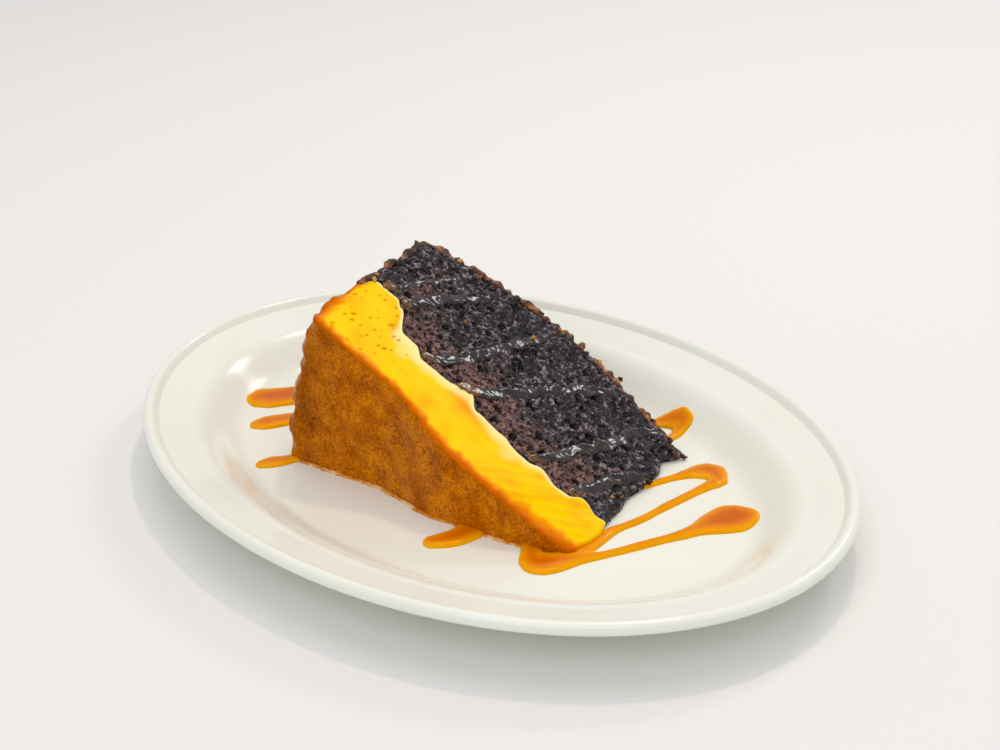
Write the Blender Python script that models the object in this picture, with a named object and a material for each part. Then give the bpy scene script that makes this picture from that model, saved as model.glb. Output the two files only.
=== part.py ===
"""A slice of chocoflan that lies on its cut side on an oval platter, with caramel sauce drizzled across.

Lengths are metres and Z is up. The platter's long axis is X, its foot stands on Z = 0, and the slice's
tip points along +X. The slice is a twelfth of a round cake: custard in front, chocolate cake behind.
"""
import math

import bmesh
import bpy
from mathutils import Vector, noise

# Platter, an oval of glazed ceramic. Insets run inwards from the middle of the rolled lip.
LIP_HALF_LENGTH = 0.143
LIP_HALF_WIDTH = 0.1045
LIP_RADIUS = 0.0025
LIP_HEIGHT = 0.021
RIM_START_INSET = 0.0034
RIM_START_HEIGHT = 0.0206
SHOULDER_INSET = 0.0148
SHOULDER_HEIGHT = 0.0173
WELL_INSET = 0.036
WELL_HEIGHT = 0.005
WALL_THICKNESS = 0.004
FOOT_INSET = 0.043
FOOT_WIDTH = 0.0035
FOOT_SLOPE_WIDTH = 0.0014
LIP_START_ANGLE = -110
LIP_END_ANGLE = 150
OVAL_STEPS = 72
LIP_STEPS = 6
WALL_STEPS = 6

# Slice, a wedge whose thin edge lies on the platter at +X
SLICE_RADIUS = 0.1327
SLICE_ANGLE = math.radians(29.6)
SLICE_TURN = math.radians(5.3)
TIP_X = 0.0652
TIP_Y = -0.0268
CLEARANCE = 0.0003
TIP_THICK_RADIUS = 0.005
DEPTH_AT_RIM = 0.0765
DEPTH_AT_TIP = 0.0730
DOME_DEPTH = 0.0112
DOME_RISE = 0.0020
DOME_START_DEPTH = (0.030, 0.060)
BULGE = 0.0065
BULGE_START = 0.007
BULGE_FADE = (0.058, 0.092)
SEAM_WAVE = (0.0006, 0.019)
SEAM_RIPPLE = (0.0003, 0.008)
PAN_CORNER = 0.0042
RIM_FLATNESS = 0.35
RIM_LEAN = 0.0014
RIM_LEAN_DEPTH = 0.012
RIM_CHANGE_START = 0.8
CELL = 0.0033
FLAN_DEPTH_CELLS = 7
CAKE_DEPTH_CELLS = 15

# Relief on the eaten surfaces
CRAG_HEIGHT = 0.0013
CRAG_SIZE = 0.0075
CRUMB_HEIGHT = 0.0006
CRUMB_SIZE = 0.0034
FLAN_WAVE_HEIGHT = 0.0006
FLAN_WAVE_SIZE = 0.014
SEAM_FADE = 0.005
THIN_FADE = 0.022

# Where custard meets cake, as (distance from tip, depth). The custard swells into a pocket near the rim.
SEAM_LINE = [(0.0031, 0.0190), (0.0091, 0.0176), (0.0161, 0.0204), (0.0216, 0.0162),
             (0.0271, 0.0160), (0.0341, 0.0184), (0.0401, 0.0162), (0.0451, 0.0162),
             (0.0531, 0.0183), (0.0651, 0.0190), (0.0721, 0.0248), (0.0811, 0.0216),
             (0.0931, 0.0215), (0.0991, 0.0254), (0.1051, 0.0254), (0.1141, 0.0358),
             (0.1181, 0.0382), (0.1281, 0.0382), (0.1335, 0.0305)]

# How far the ragged thin edge lies outside a straight one, as (depth, distance), from custard to cake
TIP_OUTLINE = [(-0.0040, -0.0005), (0.0000, 0.0010), (0.0110, 0.0039), (0.0220, 0.0018), (0.0300, 0.0022),
               (0.0380, 0.0008), (0.0500, 0.0035), (0.0590, 0.0038), (0.0670, 0.0012), (0.0735, 0.0064)]

# Sauce. Each stroke is a list of (x, y, half width) on the platter.
SAUCE_HEIGHT = 0.0016
SAUCE_SUNK = 0.0006
SAUCE_CENTRE_DROP = 0.0003
SAUCE_SIDES = 8
SAUCE_STEP = 0.0044
SAUCE_NOSE_ANGLES = (20, 50)
SAUCE_GAP = 0.0013
SAUCE_STROKES = {
    "far_left_dribble": [(-0.1052, -0.0142, 0.0050), (-0.1026, -0.0098, 0.0075), (-0.0976, -0.0042, 0.0072),
                         (-0.0900, 0.0030, 0.0066), (-0.0720, 0.0140, 0.0060)],
    "middle_left_dribble": [(-0.0922, -0.0286, 0.0030), (-0.0900, -0.0254, 0.0046),
                            (-0.0866, -0.0208, 0.0046), (-0.0820, -0.0155, 0.0043),
                            (-0.0660, -0.0020, 0.0040)],
    "corner_dribble": [(-0.0698, -0.0490, 0.0024), (-0.0676, -0.0458, 0.0035), (-0.0646, -0.0422, 0.0032),
                       (-0.0620, -0.0376, 0.0028), (-0.0604, -0.0330, 0.0028)],
    "front_tongue": [(0.0160, -0.0513, 0.0036), (0.0192, -0.0474, 0.0047), (0.0213, -0.0436, 0.0050),
                     (0.0222, -0.0390, 0.0056), (0.0225, -0.0330, 0.0050)],
    "tip_pool": [(0.0460, -0.0340, 0.0036), (0.0516, -0.0401, 0.0053), (0.0550, -0.0392, 0.0063),
                 (0.0596, -0.0346, 0.0046), (0.0644, -0.0290, 0.0027), (0.0687, -0.0236, 0.0020),
                 (0.0729, -0.0172, 0.0020), (0.0769, -0.0106, 0.0021), (0.0809, -0.0040, 0.0022),
                 (0.0849, 0.0026, 0.0026), (0.0881, 0.0092, 0.0035), (0.0914, 0.0162, 0.0063),
                 (0.0947, 0.0219, 0.0084), (0.0967, 0.0247, 0.0069)],
    "loop_front_arm": [(0.0580, -0.0290, 0.0046), (0.0620, -0.0232, 0.0034), (0.0632, -0.0150, 0.0027),
                       (0.0640, -0.0086, 0.0021), (0.0656, -0.0045, 0.0017), (0.0687, 0.0036, 0.0018),
                       (0.0710, 0.0134, 0.0018), (0.0736, 0.0232, 0.0019), (0.0764, 0.0330, 0.0021),
                       (0.0782, 0.0386, 0.0029)],
    "loop_back_arm": [(0.0785, 0.0420, 0.0035), (0.0742, 0.0450, 0.0054), (0.0706, 0.0432, 0.0047),
                      (0.0674, 0.0392, 0.0029), (0.0646, 0.0346, 0.0021), (0.0618, 0.0296, 0.0017),
                      (0.0560, 0.0180, 0.0016)],
    "back_loop_far_arm": [(0.0300, 0.0440, 0.0024), (0.0368, 0.0618, 0.0026), (0.0410, 0.0664, 0.0037),
                          (0.0456, 0.0682, 0.0044), (0.0480, 0.0676, 0.0036)],
    "back_loop_near_arm": [(0.0482, 0.0668, 0.0034), (0.0488, 0.0622, 0.0024), (0.0482, 0.0566, 0.0019),
                           (0.0460, 0.0440, 0.0018)],
}

# Syrup strings across the chocolate. Each is (distance from tip, depth) at both ends, then half width.
SYRUP_HEIGHT = 0.0011
SYRUP_SUNK = 0.0016
SYRUP_POINTS = 9
SYRUP_WAVER = 0.0014
SYRUP_WAVER_SIZE = 0.009
SYRUP_SEAM_GAP = 0.0022
SYRUP_STRINGS = {
    "rim_string": ((0.1215, 0.0430), (0.1095, 0.0700), 0.0018),
    "upper_string": ((0.1130, 0.0395), (0.0955, 0.0715), 0.0022),
    "middle_string": ((0.0876, 0.0275), (0.0700, 0.0725), 0.0022),
    "long_string": ((0.0700, 0.0270), (0.0380, 0.0745), 0.0020),
    "lower_string": ((0.0352, 0.0235), (0.0230, 0.0540), 0.0020),
    "edge_string": ((0.0225, 0.0600), (0.0160, 0.0740), 0.0017),
    "tip_string": ((0.0185, 0.0235), (0.0090, 0.0470), 0.0018),
}

GLAZED_CERAMIC = ("glazed_ceramic", (0.84, 0.83, 0.77), 0.12)
CUSTARD = ("baked_custard", (0.95, 0.55, 0.03), 0.35)
CHOCOLATE_CRUMB = ("chocolate_crumb", (0.030, 0.014, 0.012), 0.60)


def clear_objects():
    for old in list(bpy.data.objects):
        bpy.data.objects.remove(old, do_unlink=True)


def make_material(finish):
    name, colour, roughness = finish
    material = bpy.data.materials.new(name)
    material.use_nodes = True
    shader = material.node_tree.nodes["Principled BSDF"]
    shader.inputs["Base Color"].default_value = (*colour, 1.0)
    shader.inputs["Roughness"].default_value = roughness
    shader.inputs["Metallic"].default_value = 0.0
    return material


def face_outwards(bm):
    bmesh.ops.recalc_face_normals(bm, faces=bm.faces)
    if bm.calc_volume(signed=True) < 0:
        bmesh.ops.reverse_faces(bm, faces=bm.faces)


def add_object(name, bm, finish, collection=None):
    """Turns a finished bmesh into a named, smooth shaded object with its faces pointing out."""
    face_outwards(bm)
    mesh = bpy.data.meshes.new(name)
    bm.to_mesh(mesh)
    bm.free()
    mesh.shade_smooth()
    mesh.set_sharp_from_angle(angle=math.radians(40))
    mesh.materials.append(make_material(finish))
    item = bpy.data.objects.new(name, mesh)
    (collection or bpy.context.scene.collection).objects.link(item)
    return item


def ease(low, high, value):
    """Smooth step from 0 at low to 1 at high."""
    share = min(max((value - low) / (high - low), 0.0), 1.0)
    return share * share * (3.0 - 2.0 * share)


def blend(first, last, share):
    return first + (last - first) * share


def step_line(places, value):
    """A smooth line through (place, height) pairs: one smooth step from each to the next."""
    height = places[0][1]
    for (start, first), (end, last) in zip(places, places[1:]):
        height += (last - first) * ease(start, end, value)
    return height


def smooth_stroke(points, step):
    """Points every step along a smooth curve through the given ones, with widths carried along."""
    rows = [Vector(point) for point in points]
    rows = [2 * rows[0] - rows[1], *rows, 2 * rows[-1] - rows[-2]]
    curve = []
    for before, start, end, after in zip(rows, rows[1:], rows[2:], rows[3:]):
        count = max(1, round((end.xy - start.xy).length / step))
        for index in range(count):
            share = index / count
            curve.append(0.5 * (2 * start + (end - before) * share
                                + (2 * before - 5 * start + 4 * end - after) * share ** 2
                                + (3 * start - before - 3 * end + after) * share ** 3))
    curve.append(rows[-2])
    return curve


# Platter

def rim_height(inset):
    """Height of the platter's upper face at an inset: sloping rim, rounded wall, flat well."""
    if inset < SHOULDER_INSET:
        share = (inset - RIM_START_INSET) / (SHOULDER_INSET - RIM_START_INSET)
        return blend(RIM_START_HEIGHT, SHOULDER_HEIGHT, share)
    share = min((inset - SHOULDER_INSET) / (WELL_INSET - SHOULDER_INSET), 1.0)
    return WELL_HEIGHT + (SHOULDER_HEIGHT - WELL_HEIGHT) * 0.5 * (1.0 + math.cos(math.pi * share))


def under_point(inset):
    """The point one wall thickness below the upper face, square to it."""
    reach = 0.0005
    slope = (rim_height(inset + reach) - rim_height(inset - reach)) / (2 * reach)
    shift = WALL_THICKNESS / math.hypot(1.0, slope)
    return inset + slope * shift, rim_height(inset) - shift


def platter_section():
    """Closed half section as (inset, height), from the middle underneath, round the lip, into the well."""
    underside = WELL_HEIGHT - WALL_THICKNESS
    half_foot = FOOT_WIDTH / 2
    section = [
        (FOOT_INSET + half_foot + FOOT_SLOPE_WIDTH, underside),
        (FOOT_INSET + half_foot, 0.0),
        (FOOT_INSET - half_foot, 0.0),
        (FOOT_INSET - half_foot - FOOT_SLOPE_WIDTH, underside),
    ]
    wall_insets = [blend(WELL_INSET, SHOULDER_INSET, index / WALL_STEPS) for index in range(WALL_STEPS + 1)]
    section += [under_point(inset) for inset in wall_insets]
    section.append(under_point(RIM_START_INSET + LIP_RADIUS))
    for index in range(LIP_STEPS + 1):
        angle = math.radians(blend(LIP_START_ANGLE, LIP_END_ANGLE, index / LIP_STEPS))
        section.append((-LIP_RADIUS * math.cos(angle), LIP_HEIGHT + LIP_RADIUS * math.sin(angle)))
    section.append((RIM_START_INSET, RIM_START_HEIGHT))
    section += [(inset, rim_height(inset)) for inset in reversed(wall_insets)]
    return section


def oval_point(turn, inset):
    """A point on the oval that runs parallel to the lip at an inset."""
    x = LIP_HALF_LENGTH * math.cos(turn)
    y = LIP_HALF_WIDTH * math.sin(turn)
    outward = Vector((math.cos(turn) / LIP_HALF_LENGTH, math.sin(turn) / LIP_HALF_WIDTH)).normalized()
    return x - outward.x * inset, y - outward.y * inset


def platter_mesh():
    bm = bmesh.new()
    turns = [2 * math.pi * index / OVAL_STEPS for index in range(OVAL_STEPS)]
    rings = []
    for inset, height in platter_section():
        rings.append([bm.verts.new((*oval_point(turn, inset), height)) for turn in turns])
    for lower, upper in zip(rings, rings[1:]):
        for index in range(OVAL_STEPS):
            following = (index + 1) % OVAL_STEPS
            bm.faces.new((lower[index], lower[following], upper[following], upper[index]))
    bm.faces.new(rings[0])
    bm.faces.new(rings[-1])
    return bm


def inset_at(x, y):
    """How far inside the lip a place is, as the shortest way to the lip's oval."""
    turns = [2 * math.pi * index / 360 for index in range(360)]
    return min(math.hypot(LIP_HALF_LENGTH * math.cos(turn) - x, LIP_HALF_WIDTH * math.sin(turn) - y)
               for turn in turns)


# Slice

def slice_to_world(along, height, depth):
    """along: from the tip to the rim; height: above the lower cut face; depth: from custard to cake."""
    return Vector((TIP_X - along * math.cos(SLICE_TURN) - depth * math.sin(SLICE_TURN),
                   TIP_Y - along * math.sin(SLICE_TURN) + depth * math.cos(SLICE_TURN),
                   WELL_HEIGHT + CLEARANCE + height))


def front_depth(radius):
    """The caramel face bows out near the tip."""
    grown = 1.0 - math.exp(-radius / BULGE_START)
    return -BULGE * grown * (1.0 - ease(*BULGE_FADE, radius))


def seam_depth(along, height):
    """Where custard meets cake: a sheet along the seam line, with small waves."""
    place = Vector((along, height, 0.0))
    waves = sum(size * noise.noise(place / length) for size, length in (SEAM_WAVE, SEAM_RIPPLE))
    return step_line(SEAM_LINE, math.hypot(along, height)) + waves


def back_depth(radius):
    """The cake's own top face, domed as it rose in the oven."""
    share = min(radius / SLICE_RADIUS, 1.0)
    return blend(DEPTH_AT_TIP, DEPTH_AT_RIM, share) + DOME_DEPTH * math.sin(math.pi * share) ** 1.2


def dome_rise(radius, depth):
    """How far the upper cut face swells above its plane on the cake's side."""
    return DOME_RISE * math.sin(math.pi * radius / SLICE_RADIUS) * ease(*DOME_START_DEPTH, depth)


def tip_shift(along, depth):
    """Moves the thin edge out to its ragged outline, less and less towards the rim."""
    return -step_line(TIP_OUTLINE, depth) * (1.0 - min(along / SLICE_RADIUS, 1.0)) ** 3


def rim_pull(angle, depth):
    """How far the rim lies inside the pan's circle: it sank flatter there and leans in at the front."""
    half = SLICE_ANGLE / 2
    flat = RIM_FLATNESS * SLICE_RADIUS * (1.0 - math.cos(half) / math.cos(angle - half))
    lean = RIM_LEAN * max(0.0, 1.0 - depth / RIM_LEAN_DEPTH) ** 2
    return flat + lean


def fan_counts():
    """Radii of the rings and how many cells each ring has across the wedge, doubling outwards."""
    rings = round((SLICE_RADIUS - TIP_THICK_RADIUS) / CELL)
    radii = [blend(TIP_THICK_RADIUS, SLICE_RADIUS, index / rings) for index in range(rings + 1)]
    counts = [2 ** max(0, math.floor(math.log2(radius * SLICE_ANGLE / CELL + 0.001))) for radius in radii]
    return radii, counts


def layer_mesh(front, back, depth_cells, relief, seam_at_back, corner_at_back):
    """One layer of the wedge as a closed shell; front and back give its faces' depths."""
    radii, counts = fan_counts()
    last = len(radii) - 1
    bm = bmesh.new()
    spots = {}

    def spot(ring, across, deep):
        key = (ring, across, deep)
        if key not in spots:
            radius = radii[ring]
            angle = SLICE_ANGLE * across / counts[ring]
            share = deep / depth_cells
            along, height = radius * math.cos(angle), radius * math.sin(angle)
            first, thickness = front(along, height), back(along, height) - front(along, height)
            depth = first + thickness * share
            edge_gap = thickness * ((1.0 - share) if corner_at_back else share)
            corner = max(0.0, PAN_CORNER - edge_gap)
            pulled = PAN_CORNER - math.sqrt(PAN_CORNER ** 2 - corner ** 2) + rim_pull(angle, depth)
            shrink = 1.0 - pulled * ease(RIM_CHANGE_START, 1.0, ring / last) / radius
            along = along * shrink + tip_shift(along, depth)
            height = height * shrink + dome_rise(radius, depth) * across / counts[ring]
            on_seam = deep == (depth_cells if seam_at_back else 0)
            spots[key] = (bm.verts.new((along, height, depth)), on_seam, across == 0)
        return spots[key][0]

    for ring in range(last):
        near, far = counts[ring], counts[ring + 1]
        for deep in (0, depth_cells):
            for across in range(near):
                if near == far:
                    bm.faces.new((spot(ring, across, deep), spot(ring, across + 1, deep),
                                  spot(ring + 1, across + 1, deep), spot(ring + 1, across, deep)))
                else:
                    left, right = spot(ring, across, deep), spot(ring, across + 1, deep)
                    low, middle, high = (spot(ring + 1, 2 * across + step, deep) for step in range(3))
                    bm.faces.new((left, middle, low))
                    bm.faces.new((left, right, middle))
                    bm.faces.new((right, high, middle))
        for deep in range(depth_cells):
            for near_side, far_side in ((0, 0), (near, far)):
                bm.faces.new((spot(ring, near_side, deep), spot(ring + 1, far_side, deep),
                              spot(ring + 1, far_side, deep + 1), spot(ring, near_side, deep + 1)))
    for ring in (0, last):
        for across in range(counts[ring]):
            for deep in range(depth_cells):
                bm.faces.new((spot(ring, across, deep), spot(ring, across + 1, deep),
                              spot(ring, across + 1, deep + 1), spot(ring, across, deep + 1)))

    face_outwards(bm)
    bm.normal_update()
    moves = []
    for vert, on_seam, on_bottom in spots.values():
        along, height, depth = vert.co
        seam_gap = abs(depth - seam_depth(along, height))
        fade = 0.0 if on_seam else ease(0.0, SEAM_FADE, seam_gap)
        fade *= ease(0.0, THIN_FADE, math.hypot(along, height))
        move = vert.normal * relief(vert.co) * fade
        moves.append((vert, vert.co + move, on_bottom))
    for vert, place, on_bottom in moves:
        height = 0.0 if on_bottom else max(place.y, 0.0)
        vert.co = slice_to_world(place.x, height, place.z)
    return bm


def crag_relief(place):
    """Torn crumb: broad crags with smaller lumps on them."""
    crags = noise.noise(place / CRAG_SIZE)
    lumps = noise.noise(place / CRUMB_SIZE + Vector((7.0, 0.0, 0.0)))
    return CRAG_HEIGHT * crags + CRUMB_HEIGHT * lumps


def flan_relief(place):
    """Soft set custard: only slow waves."""
    return FLAN_WAVE_HEIGHT * noise.noise(place / FLAN_WAVE_SIZE)


# Sauce

def bead_mesh(path, rise, sunk, up):
    """A low rounded bead of sauce along a path of (place, half width): ovals joined into a closed shell."""
    bm = bmesh.new()
    places = [place for place, width in path]
    rings = []
    ahead_first = (places[1] - places[0]).normalized()
    ahead_last = (places[-1] - places[-2]).normalized()
    nose = [(math.cos(math.radians(angle)), math.sin(math.radians(angle))) for angle in SAUCE_NOSE_ANGLES]
    rows = [(places[0] - ahead_first * path[0][1] * out, path[0][1] * wide, ahead_first)
            for out, wide in nose]
    for index, (place, width) in enumerate(path):
        before, after = places[max(index - 1, 0)], places[min(index + 1, len(places) - 1)]
        rows.append((place, width, (after - before).normalized()))
    rows += [(places[-1] + ahead_last * path[-1][1] * out, path[-1][1] * wide, ahead_last)
             for out, wide in reversed(nose)]
    full = min(width for place, width in path)
    for place, width, ahead in rows:
        side = ahead.cross(up).normalized()
        swell = min(1.0, width / full)
        ring = []
        for index in range(SAUCE_SIDES):
            angle = 2 * math.pi * index / SAUCE_SIDES
            reach = rise if math.sin(angle) > 0 else sunk
            ring.append(bm.verts.new(place + side * width * math.cos(angle)
                                     + up * reach * swell * math.sin(angle)))
        rings.append(ring)
    for near, far in zip(rings, rings[1:]):
        for index in range(SAUCE_SIDES):
            following = (index + 1) % SAUCE_SIDES
            bm.faces.new((near[index], near[following], far[following], far[index]))
    bm.faces.new(rings[0])
    bm.faces.new(rings[-1])
    return bm


def sauce_path(points):
    """Lays a stroke's points on the platter's upper face."""
    return [(Vector((x, y, rim_height(inset_at(x, y)) - SAUCE_CENTRE_DROP)), width)
            for x, y, width in smooth_stroke(points, SAUCE_STEP)]


def cut_place(radius):
    """Along and height of a place on the upper cut face."""
    return radius * math.cos(SLICE_ANGLE), radius * math.sin(SLICE_ANGLE)


def syrup_path(start, end, width):
    """A slightly wavering line across the upper cut face of the chocolate, clear of the custard."""
    path = []
    first_depth = max(start[1], seam_depth(*cut_place(start[0])) + 2 * width + SYRUP_SEAM_GAP)
    for index in range(SYRUP_POINTS):
        share = index / (SYRUP_POINTS - 1)
        radius = blend(start[0], end[0], share)
        depth = blend(first_depth, end[1], share)
        waver = noise.noise(Vector((radius, depth, SYRUP_WAVER_SIZE)) / SYRUP_WAVER_SIZE)
        along, height = cut_place(radius + waver * SYRUP_WAVER)
        place = slice_to_world(along + tip_shift(along, depth), height + dome_rise(radius, depth), depth)
        path.append((place, width * (1.0 + 0.3 * waver)))
    return path


def join_shapes(base, collection, cutter=None):
    """Cuts the shapes clear of the slice, joins them to the base as one body, and removes them."""
    if cutter:
        for item in collection.objects:
            cut = item.modifiers.new("clear_of_slice", "BOOLEAN")
            cut.operation = "DIFFERENCE"
            cut.solver = "EXACT"
            cut.object = cutter
    union = base.modifiers.new("joined_sauce", "BOOLEAN")
    union.operation = "UNION"
    union.solver = "EXACT"
    union.use_self = True
    union.operand_type = "COLLECTION"
    union.collection = collection
    bpy.context.view_layer.update()
    evaluated = base.evaluated_get(bpy.context.evaluated_depsgraph_get())
    joined = bpy.data.meshes.new_from_object(evaluated)
    base.modifiers.clear()
    base.data = joined
    for item in list(collection.objects):
        bpy.data.objects.remove(item, do_unlink=True)
    bpy.data.collections.remove(collection)


def make_collection(name):
    collection = bpy.data.collections.new(name)
    bpy.context.scene.collection.children.link(collection)
    return collection


def slice_keep_clear():
    """The slice's outline, a little larger and deeper, which cuts the sauce on the platter."""
    bm = layer_mesh(lambda along, height: front_depth(math.hypot(along, height)),
                    lambda along, height: back_depth(math.hypot(along, height)),
                    CAKE_DEPTH_CELLS, lambda place: 0.0, False, True)
    bm.normal_update()
    for vert in bm.verts:
        vert.co += vert.normal * SAUCE_GAP
        if vert.co.z < WELL_HEIGHT + 2 * CLEARANCE:
            vert.co.z -= WALL_THICKNESS / 2
    cutter = add_object("slice_keep_clear", bm, CUSTARD)
    cutter.hide_render = True
    cutter.display_type = "WIRE"
    return cutter


def build_platter():
    platter = add_object("plate", platter_mesh(), GLAZED_CERAMIC)
    strokes = make_collection("sauce_strokes")
    for name, points in SAUCE_STROKES.items():
        add_object(name, bead_mesh(sauce_path(points), SAUCE_HEIGHT, SAUCE_SUNK, Vector((0, 0, 1))),
                   GLAZED_CERAMIC, strokes)
    cutter = slice_keep_clear()
    join_shapes(platter, strokes, cutter)
    bpy.data.objects.remove(cutter, do_unlink=True)


def build_flan():
    half_gap = CLEARANCE / 2
    bm = layer_mesh(lambda along, height: front_depth(math.hypot(along, height)),
                    lambda along, height: seam_depth(along, height) - half_gap,
                    FLAN_DEPTH_CELLS, flan_relief, True, False)
    add_object("flan", bm, CUSTARD)


def build_cake():
    half_gap = CLEARANCE / 2
    bm = layer_mesh(lambda along, height: seam_depth(along, height) + half_gap,
                    lambda along, height: back_depth(math.hypot(along, height)),
                    CAKE_DEPTH_CELLS, crag_relief, False, True)
    cake = add_object("chocolate_cake", bm, CHOCOLATE_CRUMB)
    strings = make_collection("syrup_strings")
    up = Vector((math.sin(SLICE_ANGLE), 0, math.cos(SLICE_ANGLE)))
    for name, (start, end, width) in SYRUP_STRINGS.items():
        add_object(name, bead_mesh(syrup_path(start, end, width), SYRUP_HEIGHT, SYRUP_SUNK, up),
                   CHOCOLATE_CRUMB, strings)
    join_shapes(cake, strings)


clear_objects()
build_platter()
build_flan()
build_cake()
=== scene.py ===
"""A slice of chocoflan on an oval plate: glazed plate, caramel sauce, custard, chocolate cake, syrup, crumbs.

Metres, Z up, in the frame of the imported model. The plate's long axis is X and its foot stands on Z = 0.
The sections follow the way the dish is put together, from the plate up.
"""

import math
from itertools import product

import bpy
import numpy as np
from mathutils import Euler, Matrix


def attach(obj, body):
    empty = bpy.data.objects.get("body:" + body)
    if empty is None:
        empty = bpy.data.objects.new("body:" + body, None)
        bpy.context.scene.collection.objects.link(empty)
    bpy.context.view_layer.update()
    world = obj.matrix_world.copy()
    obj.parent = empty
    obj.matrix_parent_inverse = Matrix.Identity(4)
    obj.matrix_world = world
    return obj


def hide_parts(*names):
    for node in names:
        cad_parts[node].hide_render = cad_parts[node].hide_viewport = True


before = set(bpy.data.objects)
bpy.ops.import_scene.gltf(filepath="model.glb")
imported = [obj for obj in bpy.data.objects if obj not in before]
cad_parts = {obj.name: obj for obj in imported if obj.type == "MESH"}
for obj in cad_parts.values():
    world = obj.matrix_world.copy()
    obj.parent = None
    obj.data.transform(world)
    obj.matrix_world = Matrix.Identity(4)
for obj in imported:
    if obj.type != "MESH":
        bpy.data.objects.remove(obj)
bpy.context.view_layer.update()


# Camera
# It stands in front of the dish and to its right, 29 degrees above the table, with a 54 mm lens.
CAMERA_PLACE = (0.2956, -0.3843, 0.3129)
CAMERA_TURN = (61.0, 0.78, 36.34)

camera_data = bpy.data.cameras.new("camera")
camera_data.lens = 54
camera_data.sensor_width = 36
camera = bpy.data.objects.new("camera", camera_data)
camera.location = CAMERA_PLACE
camera.rotation_euler = Euler([math.radians(angle) for angle in CAMERA_TURN])
bpy.context.scene.collection.objects.link(camera)
bpy.context.scene.camera = camera


# Table and light
# A plain matt surface under the plate. A small warm key light high behind gives the plate's shadow, broad
# soft lights stand overhead and in front, one behind glints in wet surfaces, and the sky is even.
TABLE_HALF_SIZE = 3.0
TABLE_HEX = "EDECE8"
SKY_HEX = "F7F8FF"
SKY_STRENGTH = 0.61


def linear(code):
    """An sRGB hex code as linear colour: each part is divided by 12.92 when dark, else raised to 2.4."""
    parts = [int(code[index:index + 2], 16) / 255 for index in (0, 2, 4)]
    return [part / 12.92 if part <= 0.04045 else ((part + 0.055) / 1.055) ** 2.4 for part in parts] + [1.0]


def add_node(tree, kind, inputs=None, stops=(), **settings):
    """Adds a shader node. Its inputs are values, sockets, or nodes that give their first output in use. Stops
    are (place, hex) pairs of a colour ramp."""
    node = tree.nodes.new("ShaderNode" + kind)
    for name, value in settings.items():
        setattr(node, name, value)
    for name, value in (inputs or {}).items():
        if isinstance(value, bpy.types.Node):
            value = next(socket for socket in value.outputs if socket.enabled)
        if isinstance(value, bpy.types.NodeSocket):
            tree.links.new(value, node.inputs[name])
        else:
            node.inputs[name].default_value = value
    for index, (place, code) in enumerate(stops):
        ramp = node.color_ramp.elements
        stop = ramp[index] if index < 2 else ramp.new(place)
        stop.position = place
        stop.color = linear(code)
    return node


def new_material(name):
    """An empty material: its tree and the output node that a shader goes to."""
    material = bpy.data.materials.new(name)
    material.use_nodes = True
    material.node_tree.nodes.clear()
    return material, material.node_tree, add_node(material.node_tree, "OutputMaterial")


def add_light(name, place, target, size, power, code):
    """A square soft light of a size in metres and a colour at a place, turned to a target."""
    data = bpy.data.lights.new(name, "AREA")
    data.shape = "SQUARE"
    data.size = size
    data.energy = power
    data.color = linear(code)[:3]
    lamp = bpy.data.objects.new(name, data)
    lamp.location = place
    away = np.subtract(place, target)
    lamp.rotation_euler = (math.atan2(math.hypot(away[0], away[1]), away[2]), 0,
                           math.atan2(away[0], -away[1]))
    bpy.context.scene.collection.objects.link(lamp)


table_data = bpy.data.meshes.new("table")
table_data.from_pydata([(-TABLE_HALF_SIZE, -TABLE_HALF_SIZE, 0), (TABLE_HALF_SIZE, -TABLE_HALF_SIZE, 0),
                        (TABLE_HALF_SIZE, TABLE_HALF_SIZE, 0), (-TABLE_HALF_SIZE, TABLE_HALF_SIZE, 0)],
                       [], [(0, 1, 2, 3)])
table = bpy.data.objects.new("table", table_data)
bpy.context.scene.collection.objects.link(table)
table_paint, tree, output = new_material("matt_table_paint")
shader = add_node(tree, "BsdfDiffuse", {"Color": linear(TABLE_HEX)})
tree.links.new(shader.outputs[0], output.inputs[0])
table_data.materials.append(table_paint)

add_light("key_light", (-0.03, 0.40, 1.20), (0, 0, 0), 0.07, 2.2, "FFE2B8")
add_light("top_light", (-0.10, 0.10, 1.40), (0, 0, 0), 0.80, 3.3, "FFFFFF")
add_light("fill_light", (0.45, -1.10, 1.25), (0, 0, 0), 1.10, 6.2, "F8F8FF")
add_light("glint_light", (0.15, 1.05, 0.98), (0, 0, 0.03), 0.30, 2.5, "FFFFFF")

sky = bpy.data.worlds.new("sky")
sky.use_nodes = True
sky.node_tree.nodes["Background"].inputs[0].default_value = linear(SKY_HEX)
sky.node_tree.nodes["Background"].inputs[1].default_value = SKY_STRENGTH
bpy.context.scene.world = sky
bpy.context.scene.view_settings.view_transform = "Standard"


# Plate
# A pressed oval plate of white stoneware under a warm clear glaze. Its lip is rolled, the rim slopes to a
# crisp shoulder, and the wall runs down to a flat well. It stands on an unglazed foot ring.
LIP_HALF_LENGTH = 0.143
LIP_HALF_WIDTH = 0.1045
LIP_RADIUS = 0.0025
LIP_HEIGHT = 0.021
RIM_START_INSET = 0.0034
RIM_START_HEIGHT = 0.0206
SHOULDER_INSET = 0.0148
SHOULDER_HEIGHT = 0.0173
WELL_INSET = 0.036
WELL_HEIGHT = 0.005
WALL_THICKNESS = 0.004
FOOT_INSET = 0.043
FOOT_WIDTH = 0.0035
FOOT_SLOPE_WIDTH = 0.0014
FOOT_BEVEL = 0.0002
LIP_SWEEP = (-110, 150)
OVAL_STEPS = 300


def ease(low, high, value):
    """Smooth step: 0 below low, 1 above high, and 3 s^2 - 2 s^3 of the share s between them."""
    share = np.clip((value - low) / (high - low), 0.0, 1.0)
    return share * share * (3.0 - 2.0 * share)


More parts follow.
